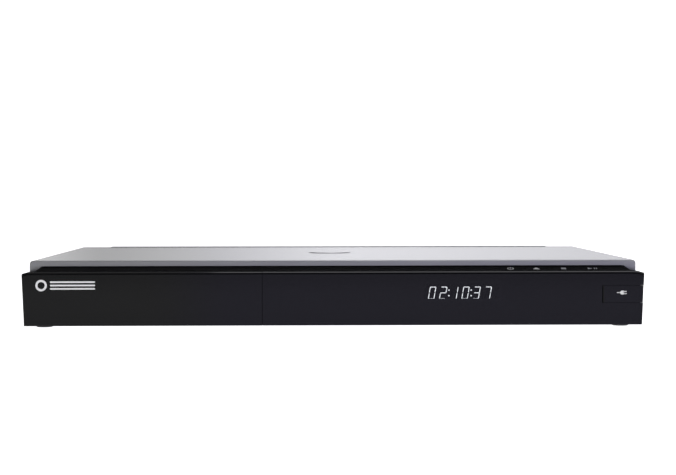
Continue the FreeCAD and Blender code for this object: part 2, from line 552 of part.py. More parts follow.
# ---- disc drive ---------------------------------------------------------------------
def make_drive_frame():
    x0, x1 = DRIVE_X - DRIVE_HALF, DRIVE_X + DRIVE_HALF
    shell = block(x0, x1, DRIVE_FRONT, DRIVE_BACK, DRIVE_FLOOR - 2, BRIDGE_Z)
    room = block(x0 + 2, x1 - 2, DRIVE_FRONT - 1, DRIVE_BACK - 2, DRIVE_FLOOR, BRIDGE_Z + 1)
    well = block(DRIVE_X - 43, DRIVE_X + 47, -104.0, 41.0, DRIVE_FLOOR - 3, DRIVE_FLOOR + 1)
    shell = shell.cut([room, well])
    pieces = []
    for side in (-1, 1):
        wall = DRIVE_X + side * (DRIVE_HALF - 2)
        rail = DRIVE_X + side * (TRAY_HALF - 2)
        a, b = min(wall, rail), max(wall, rail)
        pieces.append(block(a, b, DRIVE_FRONT, DRIVE_BACK - 2, TRAY_LOW - 3, TRAY_LOW - GAP))
        for y in (-120.0, -100.0, -30.0, 30.0):
            pieces.append(block(a, b, y, y + 12, TRAY_TOP + GAP, TRAY_TOP + 2))
        for y in (-85.0, 50.0):
            pieces.append(post(DRIVE_X + side * 69.0, y, FLOOR, DRIVE_FLOOR - 2, 3.5))
    shell = shell.cut(block(x1 - 3, x1 + 1, 55.0, 62.0, 20.0, 27.0))
    pieces.append(post(GEAR_X, GEAR_Y, DRIVE_FLOOR, TRAY_LOW - 0.3, 1.5))
    pieces.append(block(MOTOR_X + 11, MOTOR_X + 14, -122.0, -106.0, DRIVE_FLOOR, 13.6))
    bracket = block(MOTOR_X - 11, MOTOR_X + 14, -122.0, -106.0, 13.6, 14.4)
    pieces.append(bracket.cut(post(MOTOR_X, GEAR_Y - 2, 13, 15, 1.6)))
    for y in (-98.0, 12.0):
        pieces.append(block(DRIVE_X - 43, DRIVE_X - 28, y, y + 6, DRIVE_FLOOR, 12.4))
        pieces.append(block(DRIVE_X + 30, DRIVE_X + 33, y, y + 6, DRIVE_FLOOR - 2, 12.4))
        pieces.append(block(DRIVE_X - 43, DRIVE_X + 47, y, y + 6, DRIVE_FLOOR - 2, DRIVE_FLOOR))
    pieces.append(block(SCREW_X - 7, SCREW_X + 7, 24.0, 41.0, FLOOR + 0.6, FLOOR + 1.6))
    return fuse(shell, *pieces)


def make_clamp_bridge():
    x0, x1 = DRIVE_X - DRIVE_HALF, DRIVE_X + DRIVE_HALF
    strip = block(x0, x1, DISC_Y - 19, DISC_Y + 19, BRIDGE_Z, BRIDGE_Z + 1.2)
    return strip.cut(post(DRIVE_X, DISC_Y, BRIDGE_Z - 1, BRIDGE_Z + 2, 14.0))


def make_disc_clamp():
    puck = post(DRIVE_X, DISC_Y, TRAY_TOP + 1.0, BRIDGE_Z + 3.0, 13.0)
    flange = post(DRIVE_X, DISC_Y, BRIDGE_Z + 1.5, BRIDGE_Z + 3.0, 16.5)
    socket = post(DRIVE_X, DISC_Y, TRAY_TOP, TRAY_TOP + 3.0, 8.3)
    return fuse(puck, flange).cut(socket)


def make_traverse_plate():
    plate = block(DRIVE_X - 34, DRIVE_X + 31.5, -98.0, 22.0, 12.4, 14.0)
    window = block(DRIVE_X - 20, DRIVE_X + 20, -58.0, 12.0, 12.0, 15.0)
    ends = [block(DRIVE_X + s * 27 - 3, DRIVE_X + s * 27 + 3, y, y + 4, 14.0, 19.2)
            for s in (-1, 1) for y in (-66.0, 16.0)]
    holes = [bar_y(DRIVE_X + s * 27, -67.0, 21.0, ROD_Z, 1.5) for s in (-1, 1)]
    bearing = block(DRIVE_X + 31, DRIVE_X + 42, -66.0, -63.0, 8.5, 14.0)
    bearing = bearing.cut(bar_y(SCREW_X, -67, -62, SCREW_Z, 1.56))
    return fuse(plate.cut(window), *ends).cut(holes).fuse(bearing).removeSplitter()


def make_sled_rods():
    return group([bar_y(DRIVE_X + s * 27, -66.0, 20.0, ROD_Z, 1.5) for s in (-1, 1)])


def make_spindle_motor():
    can = post(DRIVE_X, DISC_Y, 14.0, 24.0, 12.5)
    return can.cut(post(DRIVE_X, DISC_Y, 20.0, 25.0, 1.55))


def make_turntable():
    table = post(DRIVE_X, DISC_Y, 24.4, 26.2, 15.0)
    cone = Part.makeCone(7.4, 5.5, 2.2, Vector(DRIVE_X, DISC_Y, 26.2))
    shaft = post(DRIVE_X, DISC_Y, 20.3, 24.4, 1.5)
    return fuse(table, cone, shaft)


def make_pickup_sled():
    carriage = block(DRIVE_X - 30, DRIVE_X + 30, -54.0, -42.0, 14.6, 19.4)
    head = block(DRIVE_X - 14, DRIVE_X + 14, -60.0, -38.0, 14.6, 22.6)
    arm = block(DRIVE_X + 29, SCREW_X + 3.4, -52.0, -45.0, 14.6, 19.4)
    drop = block(DRIVE_X + 33.6, SCREW_X + 3.4, -52.0, -45.0, SCREW_Z - 3, 15.0)
    rods = [bar_y(DRIVE_X + s * 27, -61.0, -37.0, ROD_Z, 1.56) for s in (-1, 1)]
    return fuse(carriage, head, arm, drop).cut(rods + [bar_y(SCREW_X, -53, -44, SCREW_Z, 1.56)])


def make_pickup_lens():
    ring = post(DRIVE_X, -50.0, 22.6, 23.6, 3.4)
    dome = Part.makeSphere(5.0, Vector(DRIVE_X, -50.0, 19.4)).common(post(DRIVE_X, -50.0, 23.6, 25.0, 3.0))
    return fuse(ring, dome)


def make_lead_screw():
    """The screw that moves the pick-up, with its thread shown as turned grooves."""
    shaft = bar_y(SCREW_X, -65.5, 18.0, SCREW_Z, 1.5)
    grooves = []
    for i in range(20):
        y = -60.0 + i * SCREW_PITCH
        grooves.append(bar_y(SCREW_X, y, y + 1.0, SCREW_Z, 2.0).cut(bar_y(SCREW_X, y, y + 1.0, SCREW_Z, 1.2)))
    return shaft.cut(grooves)


def make_sled_motor():
    can = bar_y(SCREW_X, 18.5, 38.0, SCREW_Z + 0.3, 6.0)
    return can.cut(block(SCREW_X - 7, SCREW_X + 7, 18, 39, 4.0, FLOOR + 1.6))


def gear_blank(x, y, z0, z1, pitch_r, teeth, phase):
    """A spur gear with plain-sided teeth, thin enough to run with a little play."""
    root_r = pitch_r - 1.25
    gear = post(x, y, z0, z1, root_r)
    profile = [(root_r - 0.3, 1.0), (pitch_r, 0.66), (pitch_r + 0.8, 0.38)]
    flank = profile + [(r, -t) for r, t in reversed(profile)]
    parts = []
    for i in range(teeth):
        angle = phase + 2 * math.pi * i / teeth
        c, s = math.cos(angle), math.sin(angle)
        parts.append(prism([(x + r * c - t * s, y + r * s + t * c) for r, t in flank], "z", z0, z1))
    return gear.fuse(parts)


def make_loading_gear():
    pitch_r = GEAR_MODULE * GEAR_TEETH / 2
    half_pitch = math.pi / GEAR_TEETH
    pinion = gear_blank(GEAR_X, GEAR_Y, PINION_LOW, PINION_HIGH, pitch_r, GEAR_TEETH, half_pitch)
    hub = post(GEAR_X, GEAR_Y, DRIVE_FLOOR + 0.3, PINION_LOW, 4.0)
    wheel = post(GEAR_X, GEAR_Y, PULLEY_LOW, PULLEY_LOW + 3.4, BELT_R + 0.7)
    groove = post(GEAR_X, GEAR_Y, PULLEY_LOW + 0.8, PULLEY_LOW + 2.6, BELT_R + 1)
    wheel = wheel.cut(groove.cut(post(GEAR_X, GEAR_Y, PULLEY_LOW, PULLEY_LOW + 3.4, BELT_R - 0.3)))
    return fuse(pinion, hub, wheel).cut(post(GEAR_X, GEAR_Y, DRIVE_FLOOR, TRAY_LOW, 1.56))


def make_motor_pulley():
    y = GEAR_Y - 2
    wheel = post(MOTOR_X, y, PULLEY_LOW, PULLEY_LOW + 3.4, BELT_SMALL_R + 0.7)
    groove = post(MOTOR_X, y, PULLEY_LOW + 0.8, PULLEY_LOW + 2.6, BELT_SMALL_R + 1)
    wheel = wheel.cut(groove.cut(post(MOTOR_X, y, PULLEY_LOW, PULLEY_LOW + 3.4, BELT_SMALL_R - 0.3)))
    return fuse(wheel, post(MOTOR_X, y, PULLEY_LOW, 15.6, 1.0))


def make_loading_motor():
    y = GEAR_Y - 2
    return post(MOTOR_X, y, 14.4, 19.4, 10.0).cut(post(MOTOR_X, y, 14.0, 16.0, 1.1))


def belt_face(big_r, small_r):
    """The area inside a belt that runs round two pulleys."""
    a, b = Vector(GEAR_X, GEAR_Y, 0), Vector(MOTOR_X, GEAR_Y - 2, 0)
    line = (b - a).normalize()
    across = Vector(-line.y, line.x, 0)
    lean = math.asin((big_r - small_r) / (b - a).Length)
    up = line * math.sin(lean) + across * math.cos(lean)
    down = line * math.sin(lean) - across * math.cos(lean)
    edges = [Part.makeLine(a + up * big_r, b + up * small_r),
             Part.Arc(b + up * small_r, b + line * small_r, b + down * small_r).toShape(),
             Part.makeLine(b + down * small_r, a + down * big_r),
             Part.Arc(a + down * big_r, a - line * big_r, a + up * big_r).toShape()]
    return Part.Face(Part.Wire(edges))


def make_loading_belt():
    low = PULLEY_LOW + 1.1
    outer = belt_face(BELT_R + 1.0, BELT_SMALL_R + 1.0)
    ring = outer.cut(belt_face(BELT_R, BELT_SMALL_R))
    ring.translate(Vector(0, 0, low))
    return ring.extrude(Vector(0, 0, 1.2))


def make_disc_tray():
    x0, x1 = DRIVE_X - TRAY_HALF, DRIVE_X + TRAY_HALF
    front = PANEL_BACK - GAP
    tray = block(x0, x1, front + 3.5, TRAY_BACK, TRAY_LOW, TRAY_TOP)
    web = block(x0, x1, front, front + 3.5, TRAY_LOW - 3, TRAY_TOP + 2.0)
    tray = tray.fuse(web)
    seat = post(DRIVE_X, DISC_Y, TRAY_TOP - 2.2, TRAY_TOP + 1, 60.6)
    small_seat = post(DRIVE_X, DISC_Y, TRAY_TOP - 3.4, TRAY_TOP + 1, 40.6)
    slot = fuse(post(DRIVE_X, DISC_Y, TRAY_LOW - 1, TRAY_TOP + 1, SLOT_HALF),
                block(DRIVE_X - SLOT_HALF, DRIVE_X + SLOT_HALF, DISC_Y, TRAY_BACK + 1,
                      TRAY_LOW - 1, TRAY_TOP + 1))
    fingers = [post(DRIVE_X + s * 56.0, front + 16.0, TRAY_TOP - 5.0, TRAY_TOP + 1, 9.0) for s in (-1, 1)]
    under = [block(DRIVE_X + a, DRIVE_X + b, y, y + 26, TRAY_LOW - 1, TRAY_LOW + 1.4)
             for a, b in ((-46, -26), (26, 58)) for y in (-130.0, -96.0, -62.0, -28.0, 6.0)]
    tray = tray.cut([seat, small_seat, slot] + fingers + under)
    return fuse(tray, make_rack())


def make_rack():
    """Toothed rail under the tray; the loading gear meshes with its right side."""
    pitch = math.pi * GEAR_MODULE
    pitch_x = GEAR_X - GEAR_MODULE * GEAR_TEETH / 2
    low, high = PINION_LOW + 0.1, TRAY_LOW + 0.1
    first = GEAR_Y - 3 * pitch
    count = 49
    back_x = pitch_x - 1.25
    rail = block(back_x - 2.2, back_x, first - 2, first + count * pitch, low, high)
    teeth = []
    for i in range(count):
        y = first + i * pitch
        profile = [(back_x - 0.3, y - 1.2), (pitch_x, y - 0.66), (pitch_x + 0.8, y - 0.37),
                   (pitch_x + 0.8, y + 0.37), (pitch_x, y + 0.66), (back_x - 0.3, y + 1.2)]
        teeth.append(prism(profile, "z", low, high))
    return rail.fuse(teeth)


def make_drive_board():
    board = block(DRIVE_X - 66, DRIVE_X + 66, 43.0, 63.0, 9.0, 9.0 + BOARD_T)
    chips = [block(DRIVE_X - 20, DRIVE_X - 6, 46.0, 60.0, 10.6, 12.2),
             block(DRIVE_X + 30, DRIVE_X + 40, 48.0, 58.0, 10.6, 11.8),
             block(DRIVE_X + 44, DRIVE_X + 58, 55.0, 62.0, 10.6, 14.6)]
    legs = [post(DRIVE_X + x, 53.0, DRIVE_FLOOR, 9.0, 2.5) for x in (-62.0, 62.0)]
    return fuse(board, *chips, *legs)


# ---- electronics --------------------------------------------------------------------

def pierced(board, places):
    return board.cut([post(x, y, BOARD_Z - 1, BOARD_TOP + 1, 1.6) for x, y in places])


def make_main_board():
    board = pierced(block(*MAIN_X, *MAIN_Y, BOARD_Z, BOARD_TOP), STAND_PLACES[:4])
    parts = [block(x, x + 9, 52.0, 64.0, BOARD_TOP, BOARD_TOP + 1.2) for x in (2.0, 14.0, 34.0, 46.0)]
    parts += [post(x, 98.0, BOARD_TOP, BOARD_TOP + 7.0, 3.2) for x in (-50.0, -42.0, 70.0, 79.0)]
    parts.append(block(-52.0, -38.0, 66.0, 86.0, BOARD_TOP, BOARD_TOP + 1.2))
    parts.append(block(56.0, 82.0, 46.0, 52.0, BOARD_TOP, BOARD_TOP + 8.0))
    parts.append(block(-48.0, -30.0, 46.0, 51.0, BOARD_TOP, BOARD_TOP + 5.0))
    parts.append(block(-54.0, -44.0, 55.0, 62.0, BOARD_TOP, BOARD_TOP + 5.0))
    parts.append(block(12.0, 39.0, 70.0, 97.0, BOARD_TOP, BOARD_TOP + 2.2))
    return fuse(board, *parts)


def make_heatsinks():
    """The processor's finned block and the power supply's two plates."""
    return group([make_processor_heatsink()] + make_power_heatsinks())


def make_processor_heatsink():
    low = BOARD_TOP + 2.2
    base = block(8.0, 43.0, 66.0, 101.0, low, low + 2.5)
    fins = [block(8.0 + i * 4.0, 9.2 + i * 4.0, 66.0, 101.0, low + 2.5, low + 14.0) for i in range(9)]
    return fuse(base, *fins)


def make_tuner_board():
    board = pierced(block(*TUNER_BOARD_X, *TUNER_BOARD_Y, BOARD_Z, BOARD_TOP), STAND_PLACES[4:8])
    parts = [post(x, 90.0, BOARD_TOP, BOARD_TOP + 8.0, 4.0) for x in (-120.0, -108.0, -96.0)]
    parts.append(block(-122.0, -104.0, 104.0, 122.0, BOARD_TOP, BOARD_TOP + 1.6))
    return fuse(board, *parts)


def make_tuner():
    """Screened tuner box."""
    can = block(-188.0, -140.0, 88.0, CHASSIS_BACK - 0.2, BOARD_TOP, 33.0)
    return can.makeFillet(0.8, [e for e in can.Edges if near(e.Vertexes[0].Z, 33.0)
                                and near(e.Vertexes[1].Z, 33.0)])


def make_aerial_connectors():
    """Two coaxial barrels; the bores take the aerial plugs' pins."""
    tip = REAR_FACE + CONNECTOR_OUT
    solids = []
    for x in TUNER_X:
        barrel = bar_y(x, CHASSIS_BACK - 0.2, tip, TUNER_Z, 4.75)
        collar = bar_y(x, CHASSIS_BACK - 0.2, REAR_FACE + 1.5, TUNER_Z, 6.0)
        body = fuse(barrel, collar).cut(bar_y(x, REAR_FACE - 0.5, tip + 1, TUNER_Z, 4.0))
        contact = bar_y(x, REAR_FACE - 1.0, tip - 1.5, TUNER_Z, 1.9)
        contact = contact.cut(bar_y(x, REAR_FACE + 1, tip, TUNER_Z, 1.2))
        solids.append(fuse(body, contact))
    return group(solids)


def make_av_housing():
    back = CHASSIS_BACK - 0.2
    body = block(RCA_X[0] - 7.5, RCA_X[-1] + 7.5, 116.0, back, BOARD_TOP, 40.5)
    return body


def make_av_jacks():
    solids = []
    for x in RCA_X:
        for z in RCA_Z:
            start = CHASSIS_BACK - 0.2
            barrel = bar_y(x, start, REAR_FACE + 8.5, z, 4.15)
            flange = bar_y(x, start, REAR_FACE + 0.8, z, 5.0)
            bore = bar_y(x, REAR_FACE, REAR_FACE + 9.0, z, 1.6)
            solids.append(fuse(barrel, flange).cut(bore))
    return group(solids)


def make_hdmi_port():
    x, z = HDMI_X, PORT_Z
    y0, y1 = 122.0, REAR_FACE + 0.6
    shell = block(x - 7.4, x + 7.4, y0, y1, z - 2.8, z + 2.8)
    outline = [(x - 7.0, z + 2.4), (x - 7.0, z - 0.4), (x - 5.4, z - 2.4), (x + 5.4, z - 2.4),
               (x + 7.0, z - 0.4), (x + 7.0, z + 2.4)]
    shell = shell.cut(prism(outline, "y", y0 + 2, y1 + 1))
    tongue = block(x - 5.6, x + 5.6, y0 + 1.5, y1 - 1.2, z + 0.0, z + 1.1)
    legs = block(x - 6.8, x + 6.8, y0, y0 + 3.0, BOARD_TOP, z - 2.5)
    return fuse(shell, tongue, legs)


def make_lan_port():
    x = LAN_X
    y1 = REAR_FACE + 0.6
    shell = block(x - 7.9, x + 7.9, 114.0, y1, BOARD_TOP, 26.1)
    mouth = block(x - 5.9, x + 5.9, y1 - 11.5, y1 + 1, 14.2, 22.0)
    latch = block(x - 3.2, x + 3.2, y1 - 11.5, y1 + 1, 21.9, 24.4)
    return shell.cut([mouth, latch])


def make_optical_port():
    x = OPTICAL_X
    y1 = REAR_FACE + 0.8
    shell = block(x - 4.9, x + 4.9, 120.0, y1, BOARD_TOP, 23.6)
    return shell.cut(block(x - 2.7, x + 2.7, y1 - 0.8, y1 + 1, 15.2, 20.6))


def make_ac_inlet():
    """Two-pin mains inlet with its flange on the outside of the rear panel."""
    x, z = INLET_X, INLET_Z
    y0, y1 = REAR_FACE - 15.0, REAR_FACE + 2.0
    body = block(x - 13.0, x + 13.0, y0, REAR_FACE, z - 8.0, z + 8.0)
    flange = block(x - 20.0, x + 20.0, REAR_FACE, y1, z - 10.0, z + 10.0)
    flange = round_edges(flange, 1.2, lambda p: near(p.y, y1))
    cavity = stadium(x, z, 4.3, 4.4, y1 - 12.0, y1 + 1)
    pins = [bar_y(x + s * 4.3, y1 - 12.5, y1 - 2.5, z, 1.2) for s in (-1, 1)]
    holes = [bar_y(x + s * INLET_SCREW, REAR_FACE - 1, y1 + 1, z, 1.7) for s in (-1, 1)]
    return fuse(body, flange).cut([cavity] + holes).fuse(pins)


def make_power_board():
    board = pierced(block(*POWER_X, *POWER_Y, BOARD_Z, BOARD_TOP), STAND_PLACES[8:])
    fuse_link = bar_x(165.0, 185.0, 96.0, BOARD_TOP + 3.0, 2.6)
    clips = [block(x, x + 2, 92.5, 99.5, BOARD_TOP, BOARD_TOP + 3.0) for x in (164.0, 184.0)]
    sockets = [block(114.0, 122.0, y, y + 24, BOARD_TOP, BOARD_TOP + 8.0) for y in (-60.0, -20.0)]
    choke = block(168.0, 192.0, 62.0, 84.0, BOARD_TOP, BOARD_TOP + 16.0)
    return fuse(board, fuse_link, *clips, *sockets, choke)


def make_transformer():
    core = block(140.0, 176.0, -16.0, 16.0, BOARD_TOP + 3, BOARD_TOP + 23.0)
    windings = block(146.0, 170.0, -22.0, 22.0, BOARD_TOP, BOARD_TOP + 26.0)
    return fuse(core, windings)


def make_capacitors():
    big = [post(x, 44.0, BOARD_TOP, BOARD_TOP + 26.0, 9.0) for x in (150.0, 172.0)]
    small = [post(128.0 + i * 13, y, BOARD_TOP, BOARD_TOP + 18.0, 4.8)
             for i in range(4) for y in (-52.0, -66.0)]
    return group(big + small)


def make_power_heatsinks():
    plates = []
    for y in (26.0, -36.0):
        plate = block(142.0, 190.0, y - 1.0, y + 1.0, BOARD_TOP, BOARD_TOP + 26.0)
        fins = [block(145.0 + i * 7, 146.2 + i * 7, y - 4.0, y - 1.0, BOARD_TOP + 4, BOARD_TOP + 26.0)
                for i in range(7)]
        plates.append(fuse(plate, *fins))
    return plates


def make_standoffs():
    posts = [post(x, y, FLOOR, BOARD_Z, 3.0).cut(post(x, y, FLOOR + 1, BOARD_Z + 1, 1.5))
             for x, y in STAND_PLACES]
    return group(posts)


def make_inner_screws():
    on_boards = screw_set([(x, y, BOARD_TOP) for x, y in STAND_PLACES], (0, 0, 1), 5.5, head_r=2.8)
    return group(on_boards + make_disk_screws())


def make_fan_frame():
    y0, y1 = CHASSIS_BACK - 10.4, CHASSIS_BACK
    frame = block(FAN_X - FAN_HALF, FAN_X + FAN_HALF, y0, y1, FAN_Z - FAN_HALF, FAN_Z + FAN_HALF)
    frame = frame.cut(bar_y(FAN_X, y0 - 1, y1 + 1, FAN_Z, 19.0))
    hub = bar_y(FAN_X, y1 - 2.0, y1, FAN_Z, 8.5)
    arms = [block(FAN_X - 19.5, FAN_X + 19.5, y1 - 1.6, y1, FAN_Z - 1, FAN_Z + 1),
            block(FAN_X - 1, FAN_X + 1, y1 - 1.6, y1, FAN_Z - 19.5, FAN_Z + 19.5)]
    axle = bar_y(FAN_X, y0 + 2.0, y1, FAN_Z, 1.5)
    holes = [bar_y(FAN_X + a, y0 - 1, y1 + 1, FAN_Z + b, 1.6) for a, b in FAN_CORNERS]
    return fuse(frame, hub, axle, *arms).cut(holes)


def make_fan_rotor():
    y0, y1 = CHASSIS_BACK - 10.0, CHASSIS_BACK - 2.4
    hub = bar_y(FAN_X, y0, y1, FAN_Z, 8.2)
    blades = []
    for i in range(7):
        blade = block(-18.0, -7.0, 0.0, 1.1, -3.6, 3.6)
        blade.rotate(Vector(0, 0, 0), Vector(1, 0, 0), 58)
        blade.rotate(Vector(0, 0, 0), Vector(0, 1, 0), i * 360 / 7)
        blade.translate(Vector(FAN_X, (y0 + y1) / 2, FAN_Z))
        blades.append(blade)
    return fuse(hub, *blades).cut(bar_y(FAN_X, y0 - 1, y1 + 1, FAN_Z, 1.56))


# ---- hard disk ----------------------------------------------------------------------
def make_hard_drive():
    body = block(*DISK_X, *DISK_Y, *DISK_Z)
    body = round_edges(body, 2.0, lambda p: near(p.z, DISK_Z[1]))
    lid = block(DISK_X[0] + 3, DISK_X[1] - 3, DISK_Y[0] + 3, DISK_Y[1] - 16, DISK_Z[1] - 0.8, DISK_Z[1] + 1)
    rim = block(DISK_X[0] + 4, DISK_X[1] - 4, DISK_Y[0] + 4, DISK_Y[1] - 17, DISK_Z[1] - 2, DISK_Z[1] + 2)
    body = body.cut(lid.cut(rim))
    holes = [bar_x(DISK_X[0] - 1, DISK_X[0] + 3, y, DISK_SCREW_Z, 1.5) for y in DISK_SCREWS_Y]
    holes += [bar_x(DISK_X[1] - 3, DISK_X[1] + 1, y, DISK_SCREW_Z, 1.5) for y in DISK_SCREWS_Y]
    socket = block(DISK_X[0] + 8, DISK_X[0] + 52, DISK_Y[1] - 6, DISK_Y[1] + 1, DISK_Z[0] - 1, DISK_Z[0] + 7)
    return body.cut(holes + [socket])


def make_hard_drive_board():
    x0, x1 = DISK_X[0] + 4, DISK_X[1] - 4
    board = block(x0, x1, -30.0, DISK_Y[1] - 1, DISK_Z[0] - 1.6, DISK_Z[0])
    plug = block(DISK_X[0] + 10, DISK_X[0] + 50, DISK_Y[1] - 5.5, DISK_Y[1] - 1, DISK_Z[0], DISK_Z[0] + 6)
    return fuse(board, plug)


def make_disk_bracket():
    """Sheet-metal cradle that holds the hard disk by its four side holes."""
    x0, x1 = DISK_X[0] - 4.0, DISK_X[1] + 4.0
    base = block(x0, x1, -104.0, 30.0, 8.0, 9.0)
    base = base.cut(block(x0 + 16, x1 - 16, -80.0, 8.0, 7.0, 10.0))
    walls = [block(x, x + 1.0, -104.0, 30.0, 9.0, 26.0) for x in (x0, x1 - 1.0)]
    legs = [block(x, x + 9, y, y + 9, FLOOR, 8.0) for x in (x0 + 3, x1 - 12) for y in (-100.0, 17.0)]
    holes = [bar_x(x0 - 1, x1 + 1, y, DISK_SCREW_Z, 2.6) for y in DISK_SCREWS_Y]
    return fuse(base, *walls, *legs).cut(holes)


def make_disk_grommets():
    rings = []
    z = DISK_SCREW_Z
    for y in DISK_SCREWS_Y:
        for x0, x1, out in ((DISK_X[0] - 4.6, DISK_X[0], -1), (DISK_X[1], DISK_X[1] + 4.6, 1)):
            core = bar_x(x0, x1, y, z, 2.5).cut(bar_x(x0 - 1, x1 + 1, y, z, 1.5))
            inner_x = sorted((x1 if out < 0 else x0, (x1 - 2.8) if out < 0 else (x0 + 2.8)))
            collar = bar_x(inner_x[0], inner_x[1], y, z, 4.5).cut(bar_x(x0 - 1, x1 + 1, y, z, 1.5))
            rings.append(fuse(core, collar))
    return group(rings)


def make_disk_screws():
    z = DISK_SCREW_Z
    screws = []
    for y in DISK_SCREWS_Y:
        screws += screw_set([(DISK_X[0] - 4.7, y, z)], (-1, 0, 0), 7.5)
        screws += screw_set([(DISK_X[1] + 4.7, y, z)], (1, 0, 0), 7.5)
    return screws


# ---- wiring inside the case ---------------------------------------------------------
def wire(points, r):
    """A round wire along straight runs, with round elbows."""
    solids = []
    for a, b in zip(points, points[1:]):
        a, b = Vector(*a), Vector(*b)
        solids.append(Part.makeCylinder(r, (b - a).Length, a, b - a))
    solids += [Part.makeSphere(r, Vector(*p)) for p in points[1:-1]]
    return fuse(*solids)


def make_sata_cable():
    y = MAIN_Y[0] + 4.5
    run = [(DISK_X[0] + 18, DISK_Y[1] + 1.5, 15.0), (DISK_X[0] + 18, DISK_Y[1] + 5.0, 22.0),
           (-39.0, y, 22.0), (-39.0, y, BOARD_TOP + 5.2)]
    return wire(run, 1.4)


def make_wiring():
    """The hard disk's data lead and the two mains wires from the inlet."""
    return group([make_sata_cable()] + make_mains_wires())


def make_mains_wires():
    runs = []
    for i in range(2):
        x = INLET_X - 4 + i * 8
        runs.append(wire([(x, REAR_FACE - 15.1, INLET_Z), (x, REAR_FACE - 24.0, INLET_Z),
                          (x, 104.0, BOARD_TOP + 2), (x, 104.0, BOARD_TOP + 0.1)], 1.1))
    return runs


def make_ribbon_cable():
    """Flat cable from the drive's board to the main board."""
    t = 0.4
    path = [(-76.0, 14.6), (-70.0, 23.0), (-57.0, 23.0), (-49.0, 17.6)]
    over = [(x, z + t) for x, z in path]
    return prism(path + list(reversed(over)), "y", 56.3, 60.7)


NODES = {
    "top_cover": make_top_cover,
    "cover_screws": make_cover_screws,
    "bottom_chassis": make_bottom_chassis,
    "feet": make_feet,
    "foot_pads": make_foot_pads,
    "rear_panel": make_rear_panel,
    "front_frame": make_front_frame,
    "right_fascia": make_right_fascia,
    "display_window": make_display_window,
    "display_digits": make_display_digits,
    "display_module": make_display_module,
    "front_boards": make_front_boards,
    "usb_socket": make_usb_socket,
    "usb_cover": make_usb_cover,
    "tray_bezel": make_tray_bezel,
    "disc_tray": make_disc_tray,
    "drive_frame": make_drive_frame,
    "clamp_bridge": make_clamp_bridge,
    "disc_clamp": make_disc_clamp,
    "traverse_plate": make_traverse_plate,
    "sled_rods": make_sled_rods,
    "spindle_motor": make_spindle_motor,
    "turntable": make_turntable,
    "pickup_sled": make_pickup_sled,
    "pickup_lens": make_pickup_lens,
    "lead_screw": make_lead_screw,
    "sled_motor": make_sled_motor,
    "loading_gear": make_loading_gear,
    "motor_pulley": make_motor_pulley,
    "loading_motor": make_loading_motor,
    "loading_belt": make_loading_belt,
    "drive_board": make_drive_board,
    "main_board": make_main_board,
    "heatsinks": make_heatsinks,
    "tuner_board": make_tuner_board,
    "tuner": make_tuner,
    "aerial_connectors": make_aerial_connectors,
    "av_housing": make_av_housing,
    "av_jacks": make_av_jacks,
    "hdmi_port": make_hdmi_port,
    "lan_port": make_lan_port,
    "optical_port": make_optical_port,
    "ac_inlet": make_ac_inlet,
    "power_board": make_power_board,
    "transformer": make_transformer,
    "capacitors": make_capacitors,
    "standoffs": make_standoffs,
    "inner_screws": make_inner_screws,
    "fan_frame": make_fan_frame,
    "fan_rotor": make_fan_rotor,
    "hard_drive": make_hard_drive,
    "hard_drive_board": make_hard_drive_board,
    "disk_bracket": make_disk_bracket,
    "disk_grommets": make_disk_grommets,
    "wiring": make_wiring,
    "ribbon_cable": make_ribbon_cable,
}
KEY_NODES = ("power_key", "open_key", "stop_key", "play_key")

for node, make in NODES.items():
    make().exportStep("parts/" + node + ".step")
for node, key_x in zip(KEY_NODES, KEY_X):
    make_key(key_x).exportStep("parts/" + node + ".step")
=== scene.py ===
"""Looks of the video recorder: finishes on the CAD frame, printed marks, connector details, studio."""

import json
import math

import bmesh
import bpy
from mathutils import Matrix, Quaternion, Vector


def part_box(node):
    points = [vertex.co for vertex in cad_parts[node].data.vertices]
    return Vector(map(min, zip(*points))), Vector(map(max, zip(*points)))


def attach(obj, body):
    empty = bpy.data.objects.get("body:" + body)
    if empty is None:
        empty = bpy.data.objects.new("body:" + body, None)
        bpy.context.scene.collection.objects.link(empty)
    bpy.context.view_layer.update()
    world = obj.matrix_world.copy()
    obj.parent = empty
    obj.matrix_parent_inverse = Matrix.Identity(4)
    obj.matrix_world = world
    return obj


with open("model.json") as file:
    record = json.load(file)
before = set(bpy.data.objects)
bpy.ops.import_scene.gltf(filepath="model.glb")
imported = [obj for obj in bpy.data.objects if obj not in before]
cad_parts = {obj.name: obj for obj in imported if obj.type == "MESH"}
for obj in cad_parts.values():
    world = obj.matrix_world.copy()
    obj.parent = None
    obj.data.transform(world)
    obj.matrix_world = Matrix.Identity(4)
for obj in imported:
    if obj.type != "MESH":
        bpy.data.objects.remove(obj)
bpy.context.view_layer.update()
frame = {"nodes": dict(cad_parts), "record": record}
nodes = frame["nodes"]
scene = bpy.context.scene

MM = 0.001
FACE_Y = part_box("tray_bezel")[0].y
PANEL_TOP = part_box("right_fascia")[1].z
REAR_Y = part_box("rear_panel")[1].y
JACK_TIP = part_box("av_jacks")[1].y
PRINT = 0.02 * MM        # thickness of a printed mark


# ---------------------------------------------------------------- node trees


